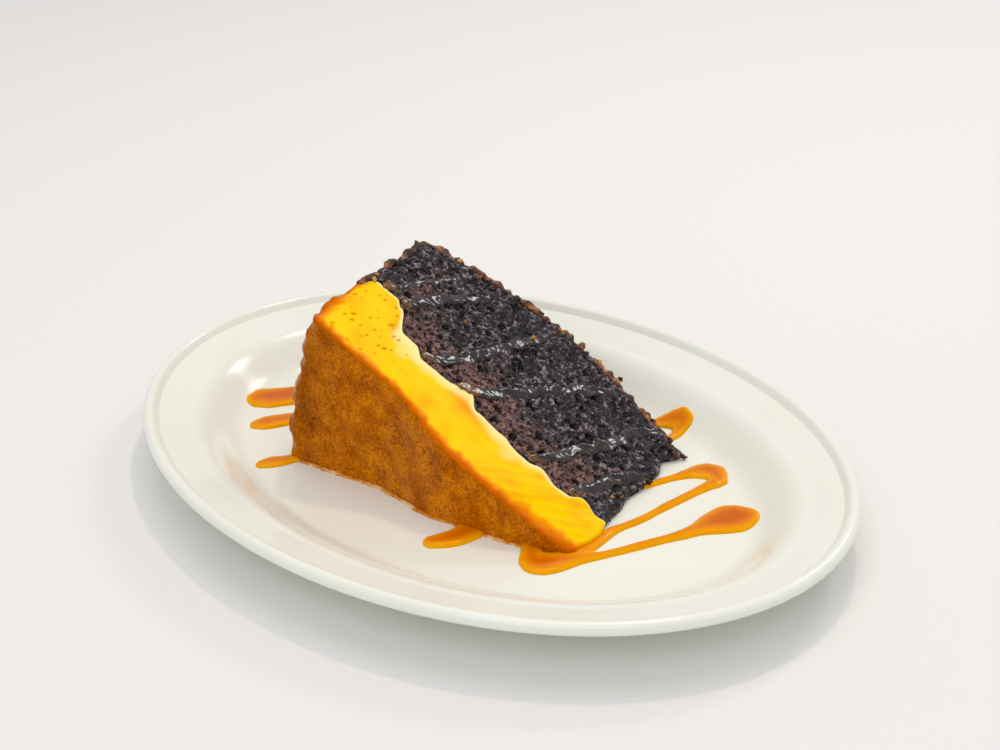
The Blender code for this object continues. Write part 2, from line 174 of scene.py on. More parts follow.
def rim_height(inset):
    """Height of the upper face: a straight slope to the shoulder, then half a cosine wave to the well."""
    inset = np.asarray(inset, float)
    slope = np.interp(inset, (RIM_START_INSET, SHOULDER_INSET), (RIM_START_HEIGHT, SHOULDER_HEIGHT))
    share = np.clip((inset - SHOULDER_INSET) / (WELL_INSET - SHOULDER_INSET), 0.0, 1.0)
    wall = WELL_HEIGHT + (SHOULDER_HEIGHT - WELL_HEIGHT) * 0.5 * (1.0 + np.cos(np.pi * share))
    return np.where(inset < SHOULDER_INSET, slope, wall)


def under_points(inset):
    """Points one wall thickness below the upper face, measured square to its slope."""
    reach = 0.0005
    slope = (rim_height(inset + reach) - rim_height(inset - reach)) / (2 * reach)
    shift = WALL_THICKNESS / np.hypot(1.0, slope)
    return np.stack([inset + slope * shift, rim_height(inset) - shift], axis=1)


def oval_points(turns, inset):
    """Points of the lip's ellipse moved inwards along its normal by an inset."""
    x = LIP_HALF_LENGTH * np.cos(turns)
    y = LIP_HALF_WIDTH * np.sin(turns)
    outward = np.stack([np.cos(turns) / LIP_HALF_LENGTH, np.sin(turns) / LIP_HALF_WIDTH])
    outward = outward / np.hypot(*outward)
    return x - outward[0] * inset, y - outward[1] * inset


def grid_faces(rows, columns, wrap=False):
    """Four-sided faces between the rows of a grid of points, which may close round on itself."""
    row, column = np.meshgrid(np.arange(rows - 1), np.arange(columns if wrap else columns - 1), indexing="ij")
    following = (column + 1) % columns
    corners = (row * columns + column, row * columns + following,
               (row + 1) * columns + following, (row + 1) * columns + column)
    return np.stack(corners, axis=-1).reshape(-1, 4)


def fan_faces(ring, pole, reverse=False):
    """Triangles from every side of a closed ring of points to one pole."""
    following = np.roll(ring, -1)
    poles = np.full(len(ring), pole)
    return np.stack([following, ring, poles] if reverse else [ring, following, poles], axis=1)


def add_piece(name, points, faces, material, slot, replaced=(), sharp_angle=50, **attributes):
    """Makes the mesh of a piece, which rides on the dish, with one value per point in each attribute."""
    mesh = bpy.data.meshes.new(name)
    mesh.from_pydata(points, [], [face for group in faces for face in group.tolist()])
    for label, values in attributes.items():
        mesh.attributes.new(label, "FLOAT", "POINT").data.foreach_set("value", values.astype(np.float32))
    mesh.shade_smooth()
    mesh.set_sharp_from_angle(angle=math.radians(sharp_angle))
    mesh.materials.append(material)
    piece = bpy.data.objects.new(name, mesh)
    bpy.context.scene.collection.objects.link(piece)
    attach(piece, "root")
    if replaced:
        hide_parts(*replaced)


turns = np.linspace(0, 2 * np.pi, OVAL_STEPS, endpoint=False)
wall_insets = SHOULDER_INSET + (WELL_INSET - SHOULDER_INSET) * np.linspace(0, 1, 26)
lip_angles = np.radians(np.linspace(*LIP_SWEEP, 22))
half_foot = FOOT_WIDTH / 2
underside = WELL_HEIGHT - WALL_THICKNESS
section = np.concatenate([
    [(FOOT_INSET + half_foot + FOOT_SLOPE_WIDTH, underside), (FOOT_INSET + half_foot, FOOT_BEVEL),
     (FOOT_INSET + half_foot - FOOT_BEVEL, 0.0), (FOOT_INSET - half_foot + FOOT_BEVEL, 0.0),
     (FOOT_INSET - half_foot, FOOT_BEVEL), (FOOT_INSET - half_foot - FOOT_SLOPE_WIDTH, underside)],
    under_points(wall_insets[::-1]),
    under_points(np.linspace(SHOULDER_INSET, RIM_START_INSET + LIP_RADIUS, 5)[1:]),
    np.stack([-LIP_RADIUS * np.cos(lip_angles), LIP_HEIGHT + LIP_RADIUS * np.sin(lip_angles)], axis=1),
    [(inset, rim_height(inset)) for inset in np.linspace(RIM_START_INSET, SHOULDER_INSET, 8)[:-1]],
    [(inset, rim_height(inset)) for inset in wall_insets],
])
rings = [np.stack([*oval_points(turns, inset), np.full(OVAL_STEPS, height)], axis=1)
         for inset, height in section]
well_rings = [rings[-1] * (share, share, 1.0) for share in (0.8, 0.6, 0.4, 0.2)]
plate_points = np.concatenate([*rings, *well_rings, [(0, 0, underside), (0, 0, WELL_HEIGHT)]])
ring_count = len(rings) + len(well_rings)
ring_numbers = np.arange(OVAL_STEPS)
plate_faces = [grid_faces(ring_count, OVAL_STEPS, wrap=True),
               fan_faces(ring_numbers, len(plate_points) - 2, reverse=True),
               fan_faces(ring_numbers + (ring_count - 1) * OVAL_STEPS, len(plate_points) - 1)]

# Glazed stoneware: a warm white body under clear glass. The slow change of tone and the faint unevenness
# of the glaze keep reflections from looking machined, and small grey rubs dot it.
glaze, tree, output = new_material("glazed_stoneware")
place = add_node(tree, "TexCoord").outputs["Object"]
drift = add_node(tree, "TexNoise", {"Vector": place, "Scale": 18.0, "Detail": 2.0})
tone = add_node(tree, "ValToRGB", {"Fac": drift}, [(0.3, "EDEEE0"), (0.7, "F1F2E5")])
rubs = add_node(tree, "TexNoise", {"Vector": place, "Scale": 260.0, "Detail": 3.0, "Roughness": 0.6})
rub_mask = add_node(tree, "MapRange", {"Value": rubs, "From Min": 0.70, "From Max": 0.80, "To Max": 0.35})
rubbed = add_node(tree, "Mix", {0: rub_mask, 6: tone, 7: linear("C9C6BC")}, data_type="RGBA")
ripple = add_node(tree, "TexNoise", {"Vector": place, "Scale": 90.0, "Detail": 2.0})
bump = add_node(tree, "Bump", {"Height": ripple, "Strength": 0.25, "Distance": 0.0002})
shader = add_node(tree, "BsdfPrincipled", {
    "Base Color": rubbed, "Roughness": 0.18, "IOR": 1.5, "Normal": bump})
tree.links.new(shader.outputs[0], output.inputs[0])
add_piece("oval_plate", plate_points, plate_faces, glaze, "plate_glaze", ["plate"], sharp_angle=30)


# Caramel sauce on the plate
# Burnt-sugar caramel, thin enough to pour, drizzled over the dish from a spoon. It ran together into a
# pool at the slice's tip. Each stroke is a list of (x, y, half width) in the well, and they flow into one.
SAUCE_STROKES = [
    [(-0.1052, -0.0142, 0.0050), (-0.1026, -0.0098, 0.0075), (-0.0976, -0.0042, 0.0072),
     (-0.0900, 0.0030, 0.0066), (-0.0720, 0.0140, 0.0060)],
    [(-0.0922, -0.0286, 0.0030), (-0.0900, -0.0254, 0.0046), (-0.0866, -0.0208, 0.0046),
     (-0.0820, -0.0155, 0.0043), (-0.0660, -0.0020, 0.0040)],
    [(-0.0698, -0.0490, 0.0024), (-0.0676, -0.0458, 0.0035), (-0.0646, -0.0422, 0.0032),
     (-0.0620, -0.0376, 0.0028), (-0.0604, -0.0330, 0.0028)],
    [(0.0160, -0.0513, 0.0036), (0.0192, -0.0474, 0.0047), (0.0213, -0.0436, 0.0050),
     (0.0222, -0.0390, 0.0056), (0.0225, -0.0330, 0.0050)],
    [(0.0460, -0.0340, 0.0036), (0.0516, -0.0401, 0.0053), (0.0550, -0.0392, 0.0063),
     (0.0596, -0.0346, 0.0046), (0.0644, -0.0290, 0.0027), (0.0687, -0.0236, 0.0020),
     (0.0729, -0.0172, 0.0020), (0.0769, -0.0106, 0.0021), (0.0809, -0.0040, 0.0022),
     (0.0849, 0.0026, 0.0026), (0.0881, 0.0092, 0.0035), (0.0914, 0.0162, 0.0063),
     (0.0947, 0.0219, 0.0084), (0.0967, 0.0247, 0.0069)],
    [(0.0580, -0.0290, 0.0046), (0.0620, -0.0232, 0.0034), (0.0632, -0.0150, 0.0027),
     (0.0640, -0.0086, 0.0021), (0.0656, -0.0045, 0.0017), (0.0687, 0.0036, 0.0018),
     (0.0710, 0.0134, 0.0018), (0.0736, 0.0232, 0.0019), (0.0764, 0.0330, 0.0021),
     (0.0782, 0.0386, 0.0029)],
    [(0.0785, 0.0420, 0.0035), (0.0742, 0.0450, 0.0054), (0.0706, 0.0432, 0.0047),
     (0.0674, 0.0392, 0.0029), (0.0646, 0.0346, 0.0021), (0.0618, 0.0296, 0.0017),
     (0.0560, 0.0180, 0.0016)],
    [(0.0300, 0.0440, 0.0024), (0.0368, 0.0618, 0.0026), (0.0410, 0.0664, 0.0037),
     (0.0456, 0.0682, 0.0044), (0.0480, 0.0676, 0.0036)],
    [(0.0482, 0.0668, 0.0034), (0.0488, 0.0622, 0.0024), (0.0482, 0.0566, 0.0019),
     (0.0460, 0.0440, 0.0018)],
]
SAUCE_HEIGHT = 0.0016
SAUCE_SUNK = 0.0006
SAUCE_EDGE = 0.0026
SAUCE_MERGE = 0.0006
SAUCE_CELL = 0.0005
SAUCE_SPAN_X = (-0.114, 0.108)
SAUCE_SPAN_Y = (-0.062, 0.076)
SAUCE_WOBBLE = [(0.0003, 0.006, 3)]
STROKE_STEP = 0.002


def smooth_stroke(points, step):
    """Points every step along a Catmull-Rom curve through the given ones, with their widths."""
    rows = np.array(points, float)
    rows = np.concatenate([[2 * rows[0] - rows[1]], rows, [2 * rows[-1] - rows[-2]]])
    curve = []
    for before, start, end, after in zip(rows, rows[1:], rows[2:], rows[3:]):
        count = max(1, round(math.hypot(*(end - start)[:2]) / step))
        share = (np.arange(count) / count)[:, None]
        curve.append(0.5 * (2 * start + (end - before) * share
                            + (2 * before - 5 * start + 4 * end - after) * share ** 2
                            + (3 * start - before - 3 * end + after) * share ** 3))
    return np.concatenate([*curve, rows[-2:-1]])


def cell_number(cells, seed):
    """A repeatable number from 0 to 1 for each whole-numbered cell, by scrambling its three numbers."""
    whole = (cells.astype(np.int64) & 0xFFFFFFFF).astype(np.uint64)
    mixed = (whole[..., 0] * 73856093) ^ (whole[..., 1] * 19349663) ^ (whole[..., 2] * 83492791)
    mixed = (mixed + np.uint64(seed * 7919 + 17)) & 0xFFFFFFFF
    for factor in (0x7FEB352D, 0x846CA68B):
        mixed = ((mixed ^ (mixed >> 15)) * factor) & 0xFFFFFFFF
    return ((mixed ^ (mixed >> 16)) & 0xFFFFFF) / float(0xFFFFFF)


def soft_noise(points, size, seed):
    """Smooth noise from -1 to 1: numbers on a lattice of that size, blended by smooth steps each way."""
    scaled = points / size + 0.37
    base = np.floor(scaled)
    share = scaled - base
    share = share ** 3 * (share * (share * 6 - 15) + 10)
    total = np.zeros(len(points))
    for corner in product((0, 1), repeat=3):
        weight = np.prod(np.where(corner, share, 1 - share), axis=1)
        total += weight * cell_number(base + corner, seed)
    return 2 * total - 1


def layered_noise(points, layers):
    """Soft noises added up, one for each (height, size, seed)."""
    return sum(height * soft_noise(points, size, seed) for height, size, seed in layers)


def stroke_field(x, y, strokes):
    """How far inside the sauce each place is: the half width of the nearest stretch less the way to its
    middle line, with strokes blended by the logarithm of their summed exponentials."""
    total = np.zeros_like(x)
    for points in strokes:
        line = smooth_stroke(points, STROKE_STEP)
        best = np.full_like(x, -1.0)
        for start, end in zip(line, line[1:]):
            run = end[:2] - start[:2]
            share = np.clip(((x - start[0]) * run[0] + (y - start[1]) * run[1]) / (run @ run), 0, 1)
            gap = np.hypot(x - start[0] - share * run[0], y - start[1] - share * run[1])
            best = np.maximum(best, start[2] + (end[2] - start[2]) * share - gap)
        total += np.exp(best / SAUCE_MERGE)
    return SAUCE_MERGE * np.log(np.maximum(total, 1e-30))


def well_height(x, y):
    """Height of the plate under a place, from its shortest way to the lip's oval."""
    turns = np.linspace(0, 2 * np.pi, 240, endpoint=False)
    gap = np.hypot(x[:, None] - LIP_HALF_LENGTH * np.cos(turns), y[:, None] - LIP_HALF_WIDTH * np.sin(turns))
    return rim_height(gap.min(axis=1))


def flat_grid(span_x, span_y, cell):
    """A square grid over two spans: its two coordinates as tables, and its places as points."""
    x, y = np.meshgrid(np.arange(*span_x, cell), np.arange(*span_y, cell), indexing="ij")
    return x, y, np.stack([x.ravel(), y.ravel(), 0 * x.ravel()], axis=1)


def flat_shape(field, x, y):
    """The cells of a grid where a field is above zero, with the points round them moved onto its zero line.
    Returns the points' places, their field and the faces."""
    slope_x, slope_y = np.gradient(field, x[1, 0] - x[0, 0], y[0, 1] - y[0, 0])
    steep = np.maximum(slope_x ** 2 + slope_y ** 2, 0.05)
    shift = np.where(field < 0, -field / steep, 0.0)
    faces = grid_faces(*field.shape)
    faces = faces[(field.ravel()[faces] > 0).any(axis=1)]
    used, faces = np.unique(faces, return_inverse=True)
    spots = np.stack([(x + shift * slope_x).ravel()[used], (y + shift * slope_y).ravel()[used]], axis=1)
    return spots, np.maximum(field.ravel()[used], 0.0), faces.reshape(-1, 4)


def quarter_round(share):
    """Height of a quarter circle over a share of its width from 0 to 1."""
    return np.sqrt(1 - (1 - np.clip(share, 0, 1)) ** 2)


def closed_pool(top, bottom, depth, faces):
    """An upper and a lower sheet that share the points of no depth, so that the pool is closed."""
    inner = depth > 0
    lower = np.arange(len(top))
    lower[inner] = len(top) + np.arange(inner.sum())
    return np.concatenate([top, bottom[inner]]), [faces, lower[faces][:, ::-1]]


x, y, flat = flat_grid(SAUCE_SPAN_X, SAUCE_SPAN_Y, SAUCE_CELL)
wobble = layered_noise(flat, SAUCE_WOBBLE).reshape(x.shape)
spots, inside, faces = flat_shape(stroke_field(x, y, SAUCE_STROKES) + wobble, x, y)
plate_level = well_height(spots[:, 0], spots[:, 1])
top = np.column_stack([spots, plate_level + SAUCE_HEIGHT * quarter_round(inside / SAUCE_EDGE)])
bottom = np.column_stack([spots, plate_level - SAUCE_SUNK])
sauce_points, sauce_faces = closed_pool(top, bottom, inside, faces)
thickness = np.concatenate([inside, inside[inside > 0]])

# Caramel sauce: clear amber that darkens as it gets deeper. The thin edge lets the white plate through as
# light gold, and the middle is a deep orange. It is as smooth as glass.
caramel, tree, output = new_material("caramel_sauce")
depth = add_node(tree, "Attribute", attribute_name="thickness").outputs["Fac"]
place = add_node(tree, "TexCoord").outputs["Object"]
swirl = add_node(tree, "TexNoise", {"Vector": place, "Scale": 120.0, "Detail": 2.0})
swirled = add_node(tree, "Math", {0: swirl, 1: 0.0016, 2: depth}, operation="MULTIPLY_ADD")
scaled = add_node(tree, "MapRange", {"Value": swirled, "From Min": 0.0006, "From Max": 0.0064})
tone = add_node(tree, "ValToRGB", {"Fac": scaled},
                [(0.0, "F4B000"), (0.25, "F09A00"), (0.6, "E27E00"), (1.0, "D26400")])
shader = add_node(tree, "BsdfPrincipled", {
    "Base Color": tone, "Roughness": 0.07, "IOR": 1.46, "Specular Tint": linear("FFC060"),
    "Subsurface Weight": 0.25, "Subsurface Scale": 0.002, "Subsurface Radius": (1.0, 0.4, 0.05)})
tree.links.new(shader.outputs[0], output.inputs[0])
add_piece("caramel_drizzle", sauce_points, sauce_faces, caramel, "caramel_sauce", thickness=thickness)


# Custard layer
# Flan of egg and milk, baked under the cake in a ring pan lined with burnt sugar, then turned out and cut.
# The sugar has stained its outer faces brown. It lies on its lower cut face and is soft enough to slump.
SLICE_RADIUS = 0.1327
SLICE_ANGLE = math.radians(29.6)
SLICE_TURN = math.radians(5.3)
TIP_PLACE = (0.0652, -0.0268)
CLEARANCE = 0.0003
TIP_THICK_RADIUS = 0.005
DEPTH_AT_RIM = 0.0765
DEPTH_AT_TIP = 0.0730
DOME_DEPTH = 0.0112
DOME_RISE = 0.0020
DOME_START_DEPTH = (0.030, 0.060)
BULGE = 0.0065
BULGE_START = 0.007
BULGE_FADE = (0.058, 0.092)
PAN_CORNER = 0.0042
RIM_FLATNESS = 0.35
RIM_LEAN = 0.0014
RIM_LEAN_DEPTH = 0.012
RIM_CHANGE_START = 0.8
FLAN_CELLS = (270, 100, 60)
FLAN_ROUNDING = 0.0013

# Where custard meets cake, as (distance from tip, depth), and how far the thin edge lies outside a straight
# one, as (depth, distance)
SEAM_LINE = [(0.0031, 0.0190), (0.0091, 0.0176), (0.0161, 0.0204), (0.0216, 0.0162),
             (0.0271, 0.0160), (0.0341, 0.0184), (0.0401, 0.0162), (0.0451, 0.0162),
             (0.0531, 0.0183), (0.0651, 0.0190), (0.0721, 0.0248), (0.0811, 0.0216),
             (0.0931, 0.0215), (0.0991, 0.0254), (0.1051, 0.0254), (0.1141, 0.0358),
             (0.1181, 0.0382), (0.1281, 0.0382), (0.1335, 0.0305)]
TIP_OUTLINE = [(-0.0040, -0.0005), (0.0000, 0.0010), (0.0110, 0.0039), (0.0220, 0.0018), (0.0300, 0.0022),
               (0.0380, 0.0008), (0.0500, 0.0035), (0.0590, 0.0038), (0.0670, 0.0012), (0.0735, 0.0064)]
SEAM_WAVES = [(0.0005, 0.013, 11), (0.0004, 0.004, 12)]

# How wide the pale band beside the cake is, as (distance from tip, width)
PALE_WIDTHS = [(0.0180, 0.0005), (0.0250, 0.0025), (0.0330, 0.0040), (0.0480, 0.0070),
               (0.0590, 0.0070), (0.0660, 0.0035), (0.0750, 0.0065), (0.0890, 0.0060),
               (0.0980, 0.0130), (0.1070, 0.0080), (0.1140, 0.0020), (0.1290, 0.0014), (0.1350, 0.0016)]

# Relief as layers of (height, size, seed), and patches as (place, place, size): rough sugar on the front face
# by distance from the tip and height, orange custard on the cut face by distance from the tip and depth
FLAN_WAVES = [(0.0006, 0.014, 21)]
SUGAR_GRAIN = [(0.00030, 0.0048, 22), (0.00014, 0.0017, 23)]
SUGAR_FINE_GRAIN = [(0.00007, 0.0008, 28)]
RIM_LUMPS = [(0.0013, 0.0085, 24), (0.0011, 0.0036, 29)]
SOAK_WAVES = [(0.0024, 0.0085, 26), (0.0016, 0.0022, 30)]
FRONT_PATCHES = [(0.1178, 0.0223, 0.0042), (0.0932, 0.0450, 0.0036), (0.0790, 0.0253, 0.0052),
                 (0.0618, 0.0244, 0.0036)]
ORANGE_PATCHES = [(0.068, 0.017, 0.0075), (0.108, 0.028, 0.0060)]

# Bubbles as (spacing, smallest radius, largest radius, share of the lattice, seed)
FLAN_DIMPLES = (0.0029, 0.0003, 0.0007, 0.75, 31)
FLAN_PINHOLES = (0.0060, 0.0002, 0.0004, 0.45, 36)
SUGAR_BUBBLES = (0.0075, 0.0004, 0.0011, 0.30, 41)
PATCH_BUBBLES = (0.0021, 0.0003, 0.0009, 0.75, 46)
DEEPEST_BUBBLE = 0.0008


def slice_to_world(along, height, depth):
    """Turns slice places to the frame: along from tip to rim, height above the cut face, depth from custard
    to cake. It is a turn about Z and a shift."""
    cosine, sine = math.cos(SLICE_TURN), math.sin(SLICE_TURN)
    return np.stack([TIP_PLACE[0] - along * cosine - depth * sine,
                     TIP_PLACE[1] - along * sine + depth * cosine,
                     WELL_HEIGHT + CLEARANCE + height], axis=-1)


def front_depth(radius):
    """The caramel face bows out near the tip, by one less an exponential, and fades by a smooth step."""
    return -BULGE * (1.0 - np.exp(-radius / BULGE_START)) * (1.0 - ease(*BULGE_FADE, radius))


def step_line(places, value):
    """A line through (place, height) pairs: one smooth step from each to the next."""
    height = places[0][1] + 0 * value
    for (start, first), (end, last) in zip(places, places[1:]):
        height = height + (last - first) * ease(start, end, value)
    return height


def seam_depth(radius, height):
    """Where custard meets cake: a sheet along the seam line, with small waves."""
    place = np.stack([radius, height * 0.6, 0 * radius], axis=-1)
    return step_line(SEAM_LINE, radius) + layered_noise(place, SEAM_WAVES)


def back_depth(radius):
    """The cake's top face, domed by a sine wave as it rose in the oven."""
    share = np.clip(radius / SLICE_RADIUS, 0, 1)
    return DEPTH_AT_TIP + (DEPTH_AT_RIM - DEPTH_AT_TIP) * share + DOME_DEPTH * np.sin(np.pi * share) ** 1.2


def dome_rise(radius, depth):
    """The upper cut face swells by a sine wave above its plane, on the cake's side."""
    return DOME_RISE * np.sin(np.pi * radius / SLICE_RADIUS) * ease(*DOME_START_DEPTH, depth)


def rim_pull(angle, depth):
    """How far the rim lies inside the pan's circle: a share of the way to the chord, plus a lean at the front
    that grows with the square of the nearness."""
    half = SLICE_ANGLE / 2
    flat = RIM_FLATNESS * SLICE_RADIUS * (1.0 - math.cos(half) / np.cos(angle - half))
    return flat + RIM_LEAN * np.clip(1.0 - depth / RIM_LEAN_DEPTH, 0, None) ** 2


def slice_shape(radius, angle, depth, inset=0.0):
    """Places of the wedge from polar steps. Near the rim it is pulled in, on the upper face it swells, and
    the thin edge is shifted by the cube of its nearness. An inset moves a point down, square to its ray."""
    reach = (radius - TIP_THICK_RADIUS) / (SLICE_RADIUS - TIP_THICK_RADIUS)
    pulled = radius - rim_pull(angle, depth) * ease(RIM_CHANGE_START, 1.0, reach)
    along = pulled * np.cos(angle) + inset * np.sin(angle)
    height = pulled * np.sin(angle) - inset * np.cos(angle) + dome_rise(radius, depth) * angle / SLICE_ANGLE
    along = along - step_line(TIP_OUTLINE, depth) * (1.0 - np.clip(along / SLICE_RADIUS, 0, 1)) ** 3
    return np.stack([along, height, depth], axis=-1)


def block_skin(counts, open_sides=()):
    """The outer faces of a block of cells as one welded sheet. Each side is a grid over two of the three
    steps. Returns each point's steps as shares from 0 to 1, the faces, and the steps as whole numbers."""
    sizes = np.array(counts) + 1
    quads = []
    for axis, side in product(range(3), (0, 1)):
        if (axis, side) in open_sides:
            continue
        first, second = [other for other in range(3) if other != axis]
        a, b = np.meshgrid(np.arange(counts[first]), np.arange(counts[second]), indexing="ij")
        corners = []
        for step_a, step_b in ((0, 0), (1, 0), (1, 1), (0, 1)):
            steps = [None, None, None]
            steps[axis] = np.full(a.size, side * counts[axis])
            steps[first] = a.ravel() + step_a
            steps[second] = b.ravel() + step_b
            corners.append((steps[0] * sizes[1] + steps[1]) * sizes[2] + steps[2])
        outward = (side == 1) == (axis != 1)
        quads.append(np.stack(corners if outward else corners[::-1], axis=1))
    keys, faces = np.unique(np.concatenate(quads), return_inverse=True)
    steps = np.stack([keys // (sizes[1] * sizes[2]), keys // sizes[2] % sizes[1], keys % sizes[2]], axis=1)
    return steps / np.array(counts), faces.reshape(-1, 4), steps


def rounding_moves(gaps, radius):
    """Rounds a block's edges: near several sides, the square lines of equal nearness turn into circles.
    Returns how far a point moves from each side, and the unit heading of the rounded surface there."""
    reach = np.clip(radius - np.stack(gaps), 0.0, None)
    length = np.maximum(np.sqrt((reach ** 2).sum(axis=0)), 1e-9)
    return reach * (1.0 - reach.max(axis=0) / length), reach / length


def point_normals(points, faces):
    """Unit normals of the points: the cross products of each face's diagonals, added up at its corners."""
    crossed = np.cross(points[faces[:, 2]] - points[faces[:, 0]], points[faces[:, 3]] - points[faces[:, 1]])
    normals = np.stack([np.bincount(faces.ravel(), np.repeat(crossed[:, axis], 4), len(points))
                        for axis in range(3)], axis=1)
    return normals / np.maximum(np.linalg.norm(normals, axis=1, keepdims=True), 1e-12)


def nearby_bubbles(points, heights, spacing, smallest, largest, share, seed):
    """Middle, radius and presence of the bubbles in the lattice cells round each point, one cell at a time. A
    share of the cells hold one, at a random place."""
    for step in product((-1, 0, 1), (-1, 0, 1), heights):
        cell = np.floor(points / spacing) + step
        middle = (cell + np.stack([cell_number(cell, seed + axis) for axis in range(3)], axis=1)) * spacing
        radius = smallest + (largest - smallest) * cell_number(cell, seed + 3) ** 2
        yield middle, radius, cell_number(cell, seed + 4) < share


def open_bubbles(points, inward, *bubbles):
    """How deep a surface sinks where it cuts round bubbles open. A point inside one moves inwards to its far
    wall, where the line leaves the sphere."""
    sunk = np.zeros(len(points))
    for middle, radius, present in nearby_bubbles(points, (-1, 0, 1), *bubbles):
        offset = points - middle
        square = (offset ** 2).sum(axis=1)
        ahead = (offset * inward).sum(axis=1)
        wall = -ahead + np.sqrt(np.maximum(ahead ** 2 - square + radius ** 2, 0.0))
        inside = (square < radius ** 2) & present
        sunk = np.maximum(sunk, np.where(inside, np.minimum(wall, 1.6 * radius), 0.0))
    return sunk


def flat_hollows(x, y, *bubbles):
    """Half-round hollows on a plane. Each is as deep as the root of its squared radius less the squared way
    from its middle."""
    sunk = np.zeros(len(x))
    for middle, radius, present in nearby_bubbles(np.stack([x, y, 0 * x], axis=1), (0,), *bubbles):
        square = (x - middle[:, 0]) ** 2 + (y - middle[:, 1]) ** 2
        sunk = np.maximum(sunk, np.where(present, np.sqrt(np.maximum(radius ** 2 - square, 0.0)), 0.0))
    return sunk


def bell_patches(x, y, patches):
    """Soft round patches: e to the power of minus the squared way from the middle over the squared size."""
    return sum(np.exp(-((x - across) ** 2 + (y - up) ** 2) / size ** 2) for across, up, size in patches)


def rest_on_well(points, steps):
    """Sets a block's lowest row on the well and lifts whatever else would sink below it."""
    floor = WELL_HEIGHT + CLEARANCE
    points[:, 2] = np.where(steps[:, 1] == 0, floor, np.maximum(points[:, 2], floor))


def rim_loop(steps, counts):
    """The points round the open lower side of a block, in order: out along one side, back along the other."""
    low = steps[:, 1] == 0
    numbers = np.flatnonzero(low)
    first, last = steps[numbers, 0], steps[numbers, 2]
    order = np.select([last == 0, first == counts[0], last == counts[2]],
                      [first, counts[0] + last, counts[0] + counts[2] + counts[0] - first],
                      2 * counts[0] + 2 * counts[2] - last)
    return numbers[np.argsort(order, kind="stable")]


shares, flan_faces, steps = block_skin(FLAN_CELLS, open_sides=[(1, 0)])
radius = TIP_THICK_RADIUS + (SLICE_RADIUS - TIP_THICK_RADIUS) * shares[:, 0]
angle = SLICE_ANGLE * shares[:, 1]
front = front_depth(radius)
back = seam_depth(radius, radius * np.sin(angle)) - CLEARANCE / 2
depth = front + (back - front) * shares[:, 2]
from_cut = radius * (SLICE_ANGLE - angle)
from_front = depth - front
from_rim = SLICE_RADIUS - radius
from_seam = back - depth
corner, heading = rounding_moves([from_front, from_rim], PAN_CORNER)
from_outer = np.minimum(from_front, from_rim)
edge, turned = rounding_moves([from_cut, from_outer, radius - TIP_THICK_RADIUS], FLAN_ROUNDING)
heading = np.where(from_outer < PAN_CORNER, heading, 0.0)
shaped = slice_shape(radius - corner[1] - edge[1] * heading[1] + edge[2], angle,
                     depth + corner[0] + edge[1] * heading[0], edge[0])
flan_points = slice_to_world(*shaped.T)
normals = point_normals(flan_points, flan_faces)

# Relief: slow waves, lumps of set sugar on the outer faces, ridges left by the knife near the tip, dimples in
# the pocket near the rim, and open bubbles in the sugar
on_sugar = np.exp(-from_outer / 0.0012)
on_cut = ease(0.004, 0.0, from_cut)
waves = layered_noise(shaped, FLAN_WAVES)
stretched = shaped * (1.0, 0.6, 1.0)
lumps = on_sugar * (layered_noise(stretched, SUGAR_GRAIN) + layered_noise(shaped, SUGAR_FINE_GRAIN))
at_ends = np.maximum(ease(0.008, 0.0, from_rim), 0.5 * ease(0.016, 0.006, radius))
rim_lumps = at_ends * layered_noise(shaped, RIM_LUMPS)
across_knife = 0.66 * radius + 0.75 * depth
along_knife = 0.75 * radius - 0.66 * depth
knife_place = np.stack([across_knife / 0.0012, along_knife / 0.016, 0 * radius], axis=1)
knife_marks = soft_noise(knife_place, 1.0, 25) * ease(0.062, 0.030, radius) * on_cut * (1 - on_sugar)
in_pocket = ease(0.092, 0.106, radius) * (1 - on_sugar)
dimple_long = 0.54 * radius - 0.84 * depth
dimple_wide = 0.84 * radius + 0.54 * depth
dimples = flat_hollows(dimple_long / 1.9, dimple_wide, *FLAN_DIMPLES) * in_pocket * on_cut / 0.0005
pinholes = flat_hollows(radius, depth, *FLAN_PINHOLES) / 0.0004 * (1 - on_sugar) * on_cut
near_patch = bell_patches(shaped[:, 0], shaped[:, 1], FRONT_PATCHES) * ease(0.004, 0.001, from_front)
sugar_holes = open_bubbles(flan_points, -normals, *SUGAR_BUBBLES) * on_sugar
patch_holes = open_bubbles(flan_points, -normals, *PATCH_BUBBLES) * ease(0.25, 0.6, near_patch)
pits = np.minimum(np.maximum(sugar_holes, patch_holes), DEEPEST_BUBBLE)
fade = np.where(steps[:, 2] == FLAN_CELLS[2], 0.0, ease(0.0, 0.003, from_seam)) * ease(0.0, 0.009, radius)
lift = (waves + lumps + rim_lumps + 0.00009 * knife_marks) * fade
lift = lift - (pits + 0.00040 * dimples + 0.00020 * pinholes) * ease(0.0, 0.001, from_seam)
flan_points = flan_points + normals * lift[:, None]
rest_on_well(flan_points, steps)
base_loop = rim_loop(steps, FLAN_CELLS)

